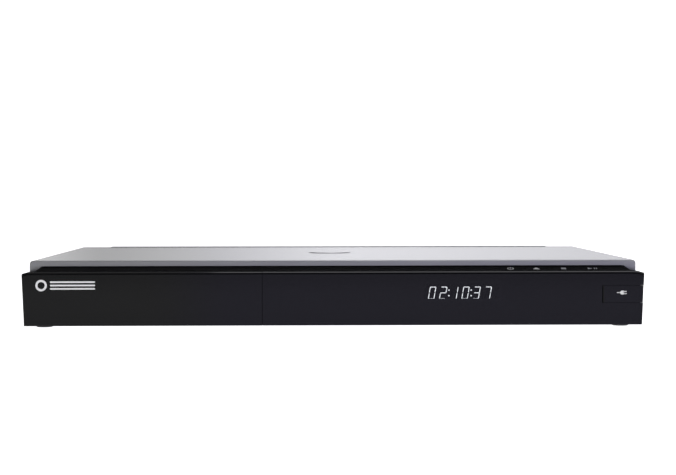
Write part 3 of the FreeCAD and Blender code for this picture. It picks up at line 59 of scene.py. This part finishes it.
class Graph:
    """Adds nodes to a tree. Inputs may be values or other nodes' sockets."""

    def __init__(self, tree):
        self.tree = tree

    def add(self, kind, inputs=None, **settings):
        node = self.tree.nodes.new("ShaderNode" + kind)
        for key, value in settings.items():
            setattr(node, key, value)
        for key, value in (inputs or {}).items():
            self.feed(node.inputs[key], value)
        return node

    def feed(self, socket, value):
        if isinstance(value, bpy.types.NodeSocket):
            self.tree.links.new(value, socket)
        else:
            socket.default_value = value

    def place(self):
        """The object's own coordinates, in metres."""
        return self.add("TexCoord").outputs["Object"]

    def noise(self, scale, detail=3.0, rough=0.5, at=None):
        made = self.add("TexNoise", {"Vector": at or self.place(), "Scale": scale, "Detail": detail,
                                     "Roughness": rough})
        return made.outputs["Fac"]

    def cells(self, scale):
        """A random colour for each cell of an irregular grid."""
        made = self.add("TexVoronoi", {"Vector": self.place(), "Scale": scale, "Randomness": 1.0})
        return made.outputs["Color"]

    def span(self, value, low, high, start=0.0, end=1.0, smooth=False):
        """Maps start..end of the input to low..high."""
        limits = {"Value": value, "From Min": start, "From Max": end, "To Min": low, "To Max": high}
        made = self.add("MapRange", limits, interpolation_type="SMOOTHSTEP" if smooth else "LINEAR")
        return made.outputs["Result"]

    def blend(self, amount, first, second):
        """A colour between two colours."""
        made = self.add("Mix", data_type="RGBA")
        self.feed(made.inputs["Factor"], amount)
        for socket, color in ((made.inputs[6], first), (made.inputs[7], second)):
            self.feed(socket, color if isinstance(color, bpy.types.NodeSocket) else rgba(color))
        return made.outputs[2]

    def mix(self, amount, first, second):
        """A number between two numbers."""
        made = self.add("Mix", data_type="FLOAT")
        for socket, value in ((made.inputs["Factor"], amount), (made.inputs[2], first),
                              (made.inputs[3], second)):
            self.feed(socket, value)
        return made.outputs[0]

    def levels(self, value, points):
        """Piecewise-linear curve through (value, level) points."""
        start, stop = points[0][0], points[-1][0]
        ramp = self.add("ValToRGB", {"Fac": self.span(value, 0.0, 1.0, start, stop)})
        stops = ramp.color_ramp.elements
        for k, (at, level) in enumerate(points[:-1]):
            spot = stops[0] if k == 0 else stops.new((at - start) / (stop - start))
            spot.color = (level, level, level, 1.0)
        stops[len(stops) - 1].color = (*[points[-1][1]] * 3, 1.0)
        return self.axis("X", ramp.outputs["Color"])

    def math(self, operation, first, second=0.0):
        made = self.add("Math", operation=operation)
        self.feed(made.inputs[0], first)
        self.feed(made.inputs[1], second)
        return made.outputs[0]

    def axis(self, name, vector=None):
        """One component of a vector or colour, of the place when none is given."""
        return self.add("SeparateXYZ", {"Vector": vector or self.place()}).outputs[name]

    def stretched(self, factors):
        """The place, scaled by a factor along each axis."""
        return self.add("Mapping", {"Vector": self.place(), "Scale": factors}).outputs["Vector"]

    def bump(self, height, distance, normal=None):
        inputs = {"Height": height, "Distance": distance, "Strength": 1.0}
        if normal:
            inputs["Normal"] = normal
        return self.add("Bump", inputs).outputs["Normal"]


def rgba(color):
    return (*color, 1.0) if len(color) == 3 else color


def shade(color, factor):
    return tuple(min(1.0, c * factor) for c in color)


def material(name, **sockets):
    """A material with one principled shader, its uniform values set on the shader's own sockets."""
    made = bpy.data.materials.new(name)
    made.use_nodes = True
    shader = made.node_tree.nodes["Principled BSDF"]
    for key, value in sockets.items():
        shader.inputs[key.replace("_", " ")].default_value = value
    return made, Graph(made.node_tree), shader


FINE_PATCH = 9.0         # how much finer the small gloss patches are than the large ones
LEAST_ROUGH = 0.01


def surface(name, color, rough, tint=0.08, patch=45.0, wear=0.05, grain=0.0, height=0.0, edge=0.0,
            **sockets):
    """A finish with mottled colour, uneven gloss, a moulded or cast grain, and softened edges.

    tint is the relative spread of the colour and wear that of the gloss; patch and grain are noise scales
    in 1/m; height is the depth of the grain and edge the radius of a softened edge, in metres.
    """
    made, g, shader = material(name, **sockets)
    soft = g.noise(patch, detail=4.0, rough=0.6)
    fine = g.noise(patch * FINE_PATCH, detail=2.0)
    g.feed(shader.inputs["Base Color"], g.blend(soft, shade(color, 1 - tint), shade(color, 1 + tint)))
    uneven = g.math("ADD", g.math("MULTIPLY", soft, 0.6), g.math("MULTIPLY", fine, 0.4))
    smoothest = max(LEAST_ROUGH, rough - wear)
    g.feed(shader.inputs["Roughness"], g.span(uneven, smoothest, rough + wear, 0.3, 0.7))
    normal = None
    if edge:
        normal = g.add("Bevel", {"Radius": edge}, samples=4).outputs["Normal"]
    if grain:
        normal = g.bump(g.noise(grain, detail=2.0), height, normal=normal)
    if normal:
        g.feed(shader.inputs["Normal"], normal)
    return made


def metallic_paint(name, color, rough):
    """Silver sprayed coat: fine flakes of slightly different tone under an almost even sheen."""
    made, g, shader = material(name, Metallic=0.55, Specular_IOR_Level=0.5)
    flakes = g.axis("X", g.cells(5200.0))
    cloud = g.noise(14.0, detail=4.0)
    tone = g.math("ADD", g.math("MULTIPLY", flakes, 0.35), g.math("MULTIPLY", cloud, 0.65))
    g.feed(shader.inputs["Base Color"], g.blend(tone, shade(color, 0.97), shade(color, 1.03)))
    g.feed(shader.inputs["Roughness"], g.span(g.noise(420.0), rough - 0.02, rough + 0.02, 0.3, 0.7))
    orange_peel = g.noise(500.0, detail=1.0)
    g.feed(shader.inputs["Normal"], g.bump(orange_peel, 0.0015 * MM))
    return made


def galvanised(name, color, crystal):
    """Zinc-coated sheet: flat crystals, each with its own tone and gloss, and faint rolling lines."""
    made, g, shader = material(name, Metallic=1.0)
    cell = g.cells(1.0 / crystal)
    own, cloud = g.axis("X", cell), g.noise(90.0)
    tone = g.math("ADD", g.math("MULTIPLY", own, 0.7), g.math("MULTIPLY", cloud, 0.3))
    g.feed(shader.inputs["Base Color"], g.blend(tone, shade(color, 0.88), shade(color, 1.1)))
    g.feed(shader.inputs["Roughness"], g.span(g.axis("Y", cell), 0.3, 0.46))
    rolled = g.noise(60.0, detail=3.0, at=g.stretched((1.0, 22.0, 1.0)))
    g.feed(shader.inputs["Normal"], g.bump(rolled, 0.004 * MM))
    return made


def turned(name, color, rough):
    """Bright machined or plated metal with fine tool lines along one direction."""
    made, g, shader = material(name, Metallic=1.0)
    tone = g.noise(130.0, detail=4.0)
    g.feed(shader.inputs["Base Color"], g.blend(tone, shade(color, 0.88), shade(color, 1.08)))
    streak = g.noise(125.0, detail=2.0, at=g.stretched((1.0, 40.0, 40.0)))
    g.feed(shader.inputs["Roughness"], g.span(streak, rough - 0.05, rough + 0.07, 0.3, 0.7))
    g.feed(shader.inputs["Normal"], g.bump(streak, 0.003 * MM))
    return made


CLEAR_SHARE = 0.12       # light let through over the digits
CLEAR_RIM = 2 * MM
SKIN = 0.4 * MM          # depth of the acrylic's front face; what lies deeper is clear


def smoked(name, color, rough):
    """Almost black acrylic: opaque round its rim, and letting a little light through over the digits."""
    made, g, shader = material(name, Specular_IOR_Level=0.53)
    low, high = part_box("display_window")
    limits = (("X", low.x + CLEAR_RIM, high.x - CLEAR_RIM), ("Z", low.z + CLEAR_RIM, high.z - CLEAR_RIM))
    inside = None
    for axis, start, stop in limits:
        at = g.axis(axis)
        for side in (g.math("GREATER_THAN", at, start), g.math("LESS_THAN", at, stop)):
            inside = g.math("MULTIPLY", inside, side) if inside else side
    front = g.math("LESS_THAN", g.axis("Y"), low.y + SKIN)
    veil = g.math("SUBTRACT", 1.0, g.math("MULTIPLY", inside, CLEAR_SHARE))
    g.feed(shader.inputs["Alpha"], g.math("MULTIPLY", veil, front))
    tone = g.noise(60.0)
    g.feed(shader.inputs["Base Color"], g.blend(tone, shade(color, 0.95), shade(color, 1.05)))
    g.feed(shader.inputs["Roughness"], g.span(g.noise(400.0), rough - 0.01, rough + 0.01, 0.3, 0.7))
    return made


def glowing(name, color, strength):
    """Lit display segments, a little uneven along their length."""
    made, g, shader = material(name, Roughness=0.4, Emission_Strength=strength)
    tone = g.noise(500.0)
    g.feed(shader.inputs["Base Color"], g.blend(tone, shade(color, 0.5), shade(color, 0.6)))
    g.feed(shader.inputs["Emission Color"], g.blend(g.noise(800.0), shade(color, 0.9), color))
    return made


# ---------------------------------------------------------------- finishes by record slot

GLOSS = dict(Specular_IOR_Level=0.5)
BLACK = (0.0042, 0.0043, 0.0050)

looks = {
    "silver_sheet": metallic_paint("silver_paint", (0.66, 0.665, 0.68), 0.24),
    "black_steel": surface("blackened_steel", (0.03, 0.03, 0.031), 0.42, Metallic=0.6, grain=900.0,
                           height=0.01 * MM),
    "galvanised_sheet": galvanised("galvanised_sheet", (0.60, 0.61, 0.62), 7 * MM),
    "rear_sheet": galvanised("rear_sheet", (0.52, 0.53, 0.54), 5 * MM),
    "foot_plastic": surface("foot_plastic", (0.012, 0.012, 0.013), 0.5, grain=2600.0, height=0.02 * MM,
                            edge=0.3 * MM),
    "rubber_pad": surface("rubber_pad", (0.016, 0.016, 0.016), 0.8, grain=1500.0, height=0.03 * MM,
                          Specular_IOR_Level=0.3),
    "satin_black": surface("satin_black", (0.003, 0.003, 0.0034), 0.18, wear=0.03, grain=3000.0,
                           height=0.002 * MM, Specular_IOR_Level=0.02),
    "gloss_black": surface("gloss_black", BLACK, 0.07, wear=0.02, grain=90.0, height=0.002 * MM,
                           **GLOSS),
    "smoked_window": smoked("smoked_window", BLACK, 0.07),
    "lit_digits": glowing("lit_digits", (0.92, 0.95, 1.0), 9.5),
    "display_glass": surface("display_glass", (0.004, 0.0042, 0.005), 0.2, wear=0.05, **GLOSS),
    "circuit_board": surface("circuit_board", (0.025, 0.13, 0.06), 0.35, tint=0.3, patch=160.0,
                             grain=1200.0, height=0.03 * MM, **GLOSS),
    "paper_board": surface("paper_board", (0.40, 0.27, 0.12), 0.6, tint=0.15, patch=120.0, grain=900.0,
                           height=0.02 * MM),
    "connector_metal": turned("nickel_plate", (0.66, 0.65, 0.62), 0.25),
    "jack_metal": turned("jack_plate", (0.72, 0.58, 0.34), 0.22),
    "port_plastic": surface("port_plastic", (0.018, 0.018, 0.019), 0.5, grain=2400.0, height=0.015 * MM,
                            edge=0.2 * MM),
    "tray_plastic": surface("tray_plastic", (0.03, 0.03, 0.032), 0.48, grain=2200.0, height=0.02 * MM,
                            edge=0.25 * MM),
    "drive_plastic": surface("drive_plastic", (0.06, 0.06, 0.063), 0.55, grain=1800.0,
                             height=0.02 * MM),
    "gear_plastic": surface("gear_plastic", (0.72, 0.70, 0.64), 0.38, grain=1600.0, height=0.01 * MM,
                            Subsurface_Weight=0.1),
    "belt_rubber": surface("belt_rubber", (0.014, 0.014, 0.014), 0.7, grain=2500.0,
                           height=0.02 * MM),
    "bright_steel": turned("bright_steel", (0.62, 0.62, 0.63), 0.2),
    "cast_metal": surface("cast_metal", (0.48, 0.49, 0.50), 0.42, Metallic=1.0, grain=1400.0,
                          height=0.03 * MM, edge=0.3 * MM),
    "heatsink_metal": turned("heatsink_metal", (0.6, 0.61, 0.63), 0.34),
    "clear_lens": surface("clear_lens", (0.55, 0.62, 0.85), 0.04, wear=0.01, Alpha=0.45,
                          Specular_IOR_Level=0.8),
    "coil_yellow": surface("winding_tape", (0.70, 0.50, 0.06), 0.35, tint=0.1, patch=90.0, grain=700.0,
                           height=0.03 * MM),
    "capacitor_sleeve": surface("capacitor_sleeve", (0.02, 0.024, 0.05), 0.25, wear=0.06),
    "wire_sleeve": surface("wire_sleeve", (0.28, 0.02, 0.02), 0.35, tint=0.2, patch=200.0),
    "ribbon_plastic": surface("ribbon_plastic", (0.74, 0.75, 0.77), 0.32, grain=1500.0,
                              height=0.02 * MM),
    "key_plastic": surface("key_plastic", (0.003, 0.003, 0.0034), 0.16, wear=0.03, edge=0.15 * MM,
                           Specular_IOR_Level=0.02),
}

for row in frame["record"]["subparts"]:
    slots = nodes[row["node"]].data.materials
    slots.clear()
    slots.append(looks[row["material_slot"]])


# ---------------------------------------------------------------- strokes and placing


def prism(mesh, outline, thick):
    """A closed slab over a convex outline of (across, up) points."""
    low = [mesh.verts.new((u, v, 0.0)) for u, v in outline]
    high = [mesh.verts.new((u, v, thick)) for u, v in outline]
    mesh.faces.new(low[::-1])
    mesh.faces.new(high)
    for i in range(len(outline)):
        j = (i + 1) % len(outline)
        mesh.faces.new((low[i], low[j], high[j], high[i]))


def bar(mesh, start, end, width, thick, steps=8):
    """A straight stroke with round ends."""
    a, b = Vector(start), Vector(end)
    turn = math.atan2(b.y - a.y, b.x - a.x)
    outline = []
    for centre, first in ((b, turn - math.pi / 2), (a, turn + math.pi / 2)):
        for k in range(steps + 1):
            angle = first + math.pi * k / steps
            outline.append((centre.x + width / 2 * math.cos(angle),
                            centre.y + width / 2 * math.sin(angle)))
    prism(mesh, outline, thick)


def arc(mesh, centre, radius, width, thick, start=0.0, sweep=360.0, steps=40):
    """A curved stroke of even width; a full circle closes on itself."""
    closed = sweep >= 360.0
    inner, outer = radius - width / 2, radius + width / 2
    rows = []
    for k in range(steps if closed else steps + 1):
        angle = math.radians(start + sweep * k / steps)
        along = Vector((math.cos(angle), math.sin(angle)))
        row = []
        for r, w in ((inner, 0.0), (outer, 0.0), (outer, thick), (inner, thick)):
            p = Vector(centre) + along * r
            row.append(mesh.verts.new((p.x, p.y, w)))
        rows.append(row)
    count = len(rows)
    for k in range(count if closed else count - 1):
        here, there = rows[k], rows[(k + 1) % count]
        for c in range(4):
            d = (c + 1) % 4
            mesh.faces.new((here[c], there[c], there[d], here[d]))
    if not closed:
        mesh.faces.new(rows[0])
        mesh.faces.new(rows[-1][::-1])


def piece(name, build, place, body, finish):
    """Builds a mesh piece in its own plane, sets it in place and lets it ride on a body."""
    mesh = bmesh.new()
    build(mesh)
    bmesh.ops.recalc_face_normals(mesh, faces=mesh.faces)
    mesh.transform(place)
    data = bpy.data.meshes.new(name)
    mesh.to_mesh(data)
    mesh.free()
    made = bpy.data.objects.new(name, data)
    scene.collection.objects.link(made)
    data.materials.append(finish)
    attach(made, body)


def on_front(x, z, y=FACE_Y):
    """Across = +X, up = +Z, proud = -Y."""
    return Matrix(((1, 0, 0, x), (0, 0, -1, y), (0, 1, 0, z), (0, 0, 0, 1)))


def on_rear(x, z, y):
    """Across = -X, up = +Z, proud = +Y."""
    return Matrix(((-1, 0, 0, x), (0, 0, 1, y), (0, 1, 0, z), (0, 0, 0, 1)))


def on_slope(x, y, z, lean):
    """Lying on the sloping ledge: across = +X, up = up the slope."""
    c, s = math.cos(lean), math.sin(lean)
    return Matrix(((1, 0, 0, x), (0, c, -s, y), (0, s, c, z), (0, 0, 0, 1)))


# ---------------------------------------------------------------- thin printed marks

white_ink = surface("white_ink", (0.94, 0.945, 0.95), 0.45, tint=0.03, patch=300.0, grain=4000.0,
                    height=0.003 * MM)
grey_ink = surface("grey_ink", (0.42, 0.43, 0.45), 0.4, tint=0.05, patch=300.0, grain=4000.0,
                   height=0.003 * MM)

MARK_X = -201.5 * MM     # centre of the ring on the drawer's panel
MARK_Z = PANEL_TOP - 9.3 * MM
PLUG_X = 199.5 * MM
PLUG_Z = PANEL_TOP - 15.1 * MM


def front_mark(mesh):
    """A ring followed by three level bars."""
    arc(mesh, (0, 0), 3.2 * MM, 1.5 * MM, PRINT)
    for level in (-2.3 * MM, 0.0, 2.3 * MM):
        bar(mesh, (6.6 * MM, level), (36.5 * MM, level), 1.15 * MM, PRINT)


piece("front_mark", front_mark, on_front(MARK_X, MARK_Z), "drawer", white_ink)


def plug_mark(mesh):
    """A plain plug on its side: a short cord, a round-shouldered body and two prongs."""
    bar(mesh, (-3.3 * MM, 0), (-1.3 * MM, 0), 0.55 * MM, PRINT)
    body = [(-1.3 * MM, -0.5 * MM), (-0.5 * MM, -1.35 * MM), (1.2 * MM, -1.35 * MM),
            (1.2 * MM, 1.35 * MM), (-0.5 * MM, 1.35 * MM), (-1.3 * MM, 0.5 * MM)]
    prism(mesh, body, PRINT)
    for level in (-0.75 * MM, 0.75 * MM):
        bar(mesh, (1.2 * MM, level), (3.0 * MM, level), 0.5 * MM, PRINT)


piece("plug_mark", plug_mark, on_front(PLUG_X, PLUG_Z), "usb_cover", white_ink)


def power_sign(mesh):
    arc(mesh, (0, 0), 2.0 * MM, 0.5 * MM, PRINT, start=120.0, sweep=300.0)
    bar(mesh, (0, 0.4 * MM), (0, 2.4 * MM), 0.5 * MM, PRINT)


def open_sign(mesh):
    prism(mesh, [(-2.2 * MM, -0.4 * MM), (2.2 * MM, -0.4 * MM), (0, 2.0 * MM)], PRINT)
    bar(mesh, (-2.0 * MM, -1.5 * MM), (2.0 * MM, -1.5 * MM), 0.6 * MM, PRINT)


def stop_sign(mesh):
    half = 1.7 * MM
    prism(mesh, [(-half, -half), (half, -half), (half, half), (-half, half)], PRINT)


def play_sign(mesh):
    prism(mesh, [(-3.0 * MM, -1.8 * MM), (0.2 * MM, 0), (-3.0 * MM, 1.8 * MM)], PRINT)
    for x in (1.6 * MM, 3.0 * MM):
        bar(mesh, (x, -1.5 * MM), (x, 1.5 * MM), 0.6 * MM, PRINT)


END_BAND = 0.5 * MM      # a key's front and back edges are looked for within this of its ends

for body, sign, ink in (("power_key", power_sign, white_ink), ("open_key", open_sign, white_ink),
                        ("stop_key", stop_sign, grey_ink), ("play_key", play_sign, grey_ink)):
    low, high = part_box(body)
    points = [v.co for v in nodes[body].data.vertices]
    front = max((p for p in points if p.y < low.y + END_BAND), key=lambda p: p.z)
    back = max((p for p in points if p.y > high.y - END_BAND), key=lambda p: p.z)
    lean = math.atan2(back.z - front.z, back.y - front.y)
    middle = (front + back) / 2
    piece(body + "_mark", sign, on_slope((low.x + high.x) / 2, middle.y, middle.z, lean), body,
          ink)


# ---------------------------------------------------------------- connector details


def lathe(mesh, profile, steps=48):
    """A ring turned about the piece's own outward axis; profile holds (radius, outward) points."""
    rows = []
    for k in range(steps):
        angle = 2 * math.pi * k / steps
        c, s = math.cos(angle), math.sin(angle)
        rows.append([mesh.verts.new((r * c, r * s, w)) for r, w in profile])
    for k in range(steps):
        here, there = rows[k], rows[(k + 1) % steps]
        for c in range(len(profile)):
            d = (c + 1) % len(profile)
            mesh.faces.new((here[c], there[c], there[d], here[d]))


def rounded_ring(inner, outer, depth, bevel):
    """Profile of a flat ring whose outer front corner is rounded."""
    profile = [(inner, 0.0), (outer, 0.0)]
    for k in range(5):
        angle = math.pi / 2 * k / 4
        profile.append((outer - bevel + bevel * math.cos(angle),
                        depth - bevel + bevel * math.sin(angle)))
    return profile + [(inner, depth)]


COLLAR_SEAT = 0.85 * MM  # each collar starts just inside the front of its jack's flange
INSULATOR_SEAT = 0.05 * MM
collar_colors = (("yellow", (0.75, 0.52, 0.02)), ("white", (0.78, 0.78, 0.76)),
                 ("red", (0.55, 0.015, 0.015)))
collars = [surface("collar_" + name, color, 0.36, tint=0.05, grain=2500.0, height=0.008 * MM)
           for name, color in collar_colors]
insulator = surface("jack_insulator", (0.05, 0.05, 0.052), 0.45, grain=2500.0, height=0.01 * MM)
gold = turned("contact_gold", (0.83, 0.62, 0.25), 0.22)

jack_points = [m["pos_m"] for m in frame["record"]["mounts"] if m["name"].startswith("av_jack")]
collar_ring = rounded_ring(4.2 * MM, 6.1 * MM, 1.0 * MM, 0.35 * MM)
insulator_ring = rounded_ring(1.7 * MM, 3.3 * MM, 0.3 * MM, 0.12 * MM)
for number, (x, _, z) in enumerate(jack_points):
    finish = collars[number % len(collars)]
    piece(f"jack_collar_{number + 1}", lambda m: lathe(m, collar_ring),
          on_rear(x, z, REAR_Y + COLLAR_SEAT), "chassis", finish)
    piece(f"jack_insulator_{number + 1}", lambda m: lathe(m, insulator_ring),
          on_rear(x, z, JACK_TIP - INSULATOR_SEAT), "chassis", insulator)


def place_of(name):
    """Where a mount of the record lies."""
    return next(m["pos_m"] for m in frame["record"]["mounts"] if m["name"] == name)


CONTACT_THICK = 0.12 * MM
BOX_FACES = ((0, 1, 2, 3), (7, 6, 5, 4), (0, 4, 5, 1), (1, 5, 6, 2), (2, 6, 7, 3), (3, 7, 4, 0))


def contact_row(count, pitch, width, length, drop):
    """Sprung contacts side by side, each a thin bent strip that goes down by drop inside its port."""
    path = [(0.0, 0.0), (length * 0.55, -drop * 0.7), (length * 0.85, -drop), (length, -drop * 0.75)]

    def build(mesh):
        for k in range(count):
            left = (k - (count - 1) / 2) * pitch - width / 2
            right = left + width
            for (w0, v0), (w1, v1) in zip(path, path[1:]):
                corners = [mesh.verts.new((u, v + up, -w)) for up in (0.0, CONTACT_THICK)
                           for u, v, w in ((left, v0, w0), (right, v0, w0), (right, v1, w1), (left, v1, w1))]
                for face in BOX_FACES:
                    mesh.faces.new([corners[i] for i in face])
    return build


lan_x = place_of("network_port")[0]
lan_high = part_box("lan_port")[1]
LAN_CONTACT_Z = 14.5 * MM
LAN_CONTACT_DEPTH = 1.2 * MM
piece("network_contacts", contact_row(8, 1.02 * MM, 0.45 * MM, 8.0 * MM, -3.0 * MM),
      on_rear(lan_x, LAN_CONTACT_Z, lan_high.y - LAN_CONTACT_DEPTH), "chassis", gold)


def light_window(mesh):
    """A small raised light with softened edges."""
    half_w, half_h, depth = 1.3 * MM, 0.75 * MM, 0.15 * MM
    prism(mesh, [(-half_w, -half_h), (half_w, -half_h), (half_w, half_h), (-half_w, half_h)], depth)
    bmesh.ops.bevel(mesh, geom=list(mesh.edges), offset=0.06 * MM, segments=2, affect="EDGES")


LIGHT_ASIDE = 5.6 * MM
LIGHT_BELOW_TOP = 1.5 * MM
for name, x, color in (("green", -LIGHT_ASIDE, (0.05, 0.30, 0.06)),
                       ("amber", LIGHT_ASIDE, (0.55, 0.26, 0.02))):
    finish = surface("light_" + name, color, 0.2, tint=0.06, grain=900.0, height=0.01 * MM)
    piece(f"network_light_{name}", light_window,
          on_rear(lan_x + x, lan_high.z - LIGHT_BELOW_TOP, lan_high.y), "chassis", finish)

hdmi_x, _, hdmi_z = place_of("hdmi_out")
HDMI_CONTACT_DOWN = 0.13 * MM
HDMI_CONTACT_DEPTH = 1.4 * MM
piece("hdmi_contacts", contact_row(9, 1.0 * MM, 0.4 * MM, 7.0 * MM, 0.05 * MM),
      on_rear(hdmi_x, hdmi_z - HDMI_CONTACT_DOWN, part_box("hdmi_port")[1].y - HDMI_CONTACT_DEPTH),
      "chassis", gold)

usb_low, usb_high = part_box("usb_socket")
USB_CONTACT_UP = 0.27 * MM
USB_CONTACT_DEPTH = 2.0 * MM
piece("front_socket_contacts", contact_row(4, 2.3 * MM, 1.1 * MM, 7.5 * MM, 0.05 * MM),
      on_front((usb_low.x + usb_high.x) / 2, (usb_low.z + usb_high.z) / 2 + USB_CONTACT_UP,
               usb_low.y + USB_CONTACT_DEPTH),
      "chassis", gold)


# ---------------------------------------------------------------- floor, light and camera


FLOOR_HALF = 12.0


def build_floor():
    """A wide white floor that glossy rays pass, so that the world alone is mirrored."""
    mesh = bmesh.new()
    bmesh.ops.create_grid(mesh, x_segments=8, y_segments=8, size=FLOOR_HALF)
    data = bpy.data.meshes.new("floor")
    mesh.to_mesh(data)
    mesh.free()
    floor = bpy.data.objects.new("floor", data)
    scene.collection.objects.link(floor)
    made, g, shader = material("pale_floor", Roughness=0.7, Emission_Strength=1.0)
    g.feed(shader.inputs["Base Color"], g.blend(g.noise(3.0), (0.86, 0.86, 0.86), (0.88, 0.88, 0.88)))
    g.feed(shader.inputs["Emission Color"], rgba(WHITE))
    data.materials.append(made)
    floor.visible_glossy = False


DARK_BAND = 0.01         # above the front light, mirrored by the ledge and the roundings
SIDE_LIGHT = 0.45
TOP_LIGHT = 0.35
BACKDROP = 1.05
WHITE = (1.0, 1.0, 1.0)
COOL_FRONT = (1.0, 0.965, 1.3)
COOL_REAR = (0.99, 0.985, 1.03)
# light levels by a direction's height in front, and by its place across at the rear
LOW_FRONT = ((-0.20, 0.55), (-0.10, 0.36), (-0.081, 0.33), (-0.064, 0.40), (-0.048, 0.23), (0.02, 0.21),
             (0.15, DARK_BAND))
LOW_REAR = ((-0.30, 1.15), (-0.20, 1.25), (-0.125, 0.50), (-0.06, 0.76), (0.02, 1.22), (0.09, 1.12),
            (0.17, 0.98), (0.30, 0.85))


def build_world():
    """A white surround for the camera; for the object a dim front, a bright low rear and a soft top."""
    world = bpy.data.worlds.new("studio")
    scene.world = world
    world.use_nodes = True
    tree = world.node_tree
    tree.nodes.clear()
    g = Graph(tree)
    way = g.add("TexCoord").outputs["Generated"]
    across, ahead, height = (g.axis(name, way) for name in ("X", "Y", "Z"))
    beside = g.span(g.math("ABSOLUTE", across), DARK_BAND, SIDE_LIGHT, 0.35, 0.6, smooth=True)
    above_low = g.span(height, 0.0, 1.0, 0.26, 0.42, smooth=True)
    rear = g.mix(above_low, g.levels(across, LOW_REAR), beside)
    front = g.levels(height, LOW_FRONT)
    around = g.mix(g.span(ahead, 0.0, 1.0, -0.1, 0.4, smooth=True), front, rear)
    light = g.mix(g.span(height, 0.0, 1.0, 0.70, 0.92, smooth=True), around, TOP_LIGHT)
    cool = g.blend(g.span(ahead, 0.0, 1.0, -0.1, 0.1), COOL_FRONT, COOL_REAR)
    tint = g.blend(g.span(across, 0.0, 1.0, -0.09, -0.05), WHITE, cool)
    seen = g.add("LightPath").outputs["Is Camera Ray"]
    lit = g.add("Background", {"Color": tint, "Strength": light})
    plain = g.add("Background", {"Color": rgba(WHITE), "Strength": BACKDROP})
    both = g.add("MixShader", {"Fac": seen, 1: lit.outputs[0], 2: plain.outputs[0]})
    out = g.add("OutputWorld")
    g.feed(out.inputs["Surface"], both.outputs[0])


def softbox(name, place, aim, size, power):
    """A rectangular lamp at place that faces aim."""
    data = bpy.data.lights.new(name, "AREA")
    data.shape = "RECTANGLE"
    data.size, data.size_y = size
    data.energy = power
    lamp = bpy.data.objects.new(name, data)
    scene.collection.objects.link(lamp)
    lamp.location = place
    lamp.rotation_mode = "QUATERNION"
    lamp.rotation_quaternion = (Vector(aim) - Vector(place)).to_track_quat("-Z", "Y")
    lamp.visible_camera = False


CAMERA_X = -18.2 * MM
CAMERA_AHEAD = 1136.1 * MM
CAMERA_ABOVE = 57.5 * MM
LENS = 87.79
YAW, PITCH, ROLL = 0.0185, -0.03, 0.0013


def build_camera():
    """In front and a little above, almost square on to the face."""
    data = bpy.data.cameras.new("camera")
    data.lens, data.sensor_width = LENS, 36.0
    camera = bpy.data.objects.new("camera", data)
    scene.collection.objects.link(camera)
    camera.location = (CAMERA_X, FACE_Y - CAMERA_AHEAD, PANEL_TOP + CAMERA_ABOVE)
    level = math.cos(PITCH)
    forward = Vector((math.sin(YAW) * level, math.cos(YAW) * level, math.sin(PITCH)))
    camera.rotation_mode = "QUATERNION"
    camera.rotation_quaternion = Quaternion(forward, ROLL) @ forward.to_track_quat("-Z", "Y")
    scene.camera = camera


build_floor()
build_world()
softbox("top_softbox", (0.9, -0.15, 1.7), (0.9, 0, 0), (2.16, 1.2), 11.0)
build_camera()
scene.view_settings.view_transform = "Standard"
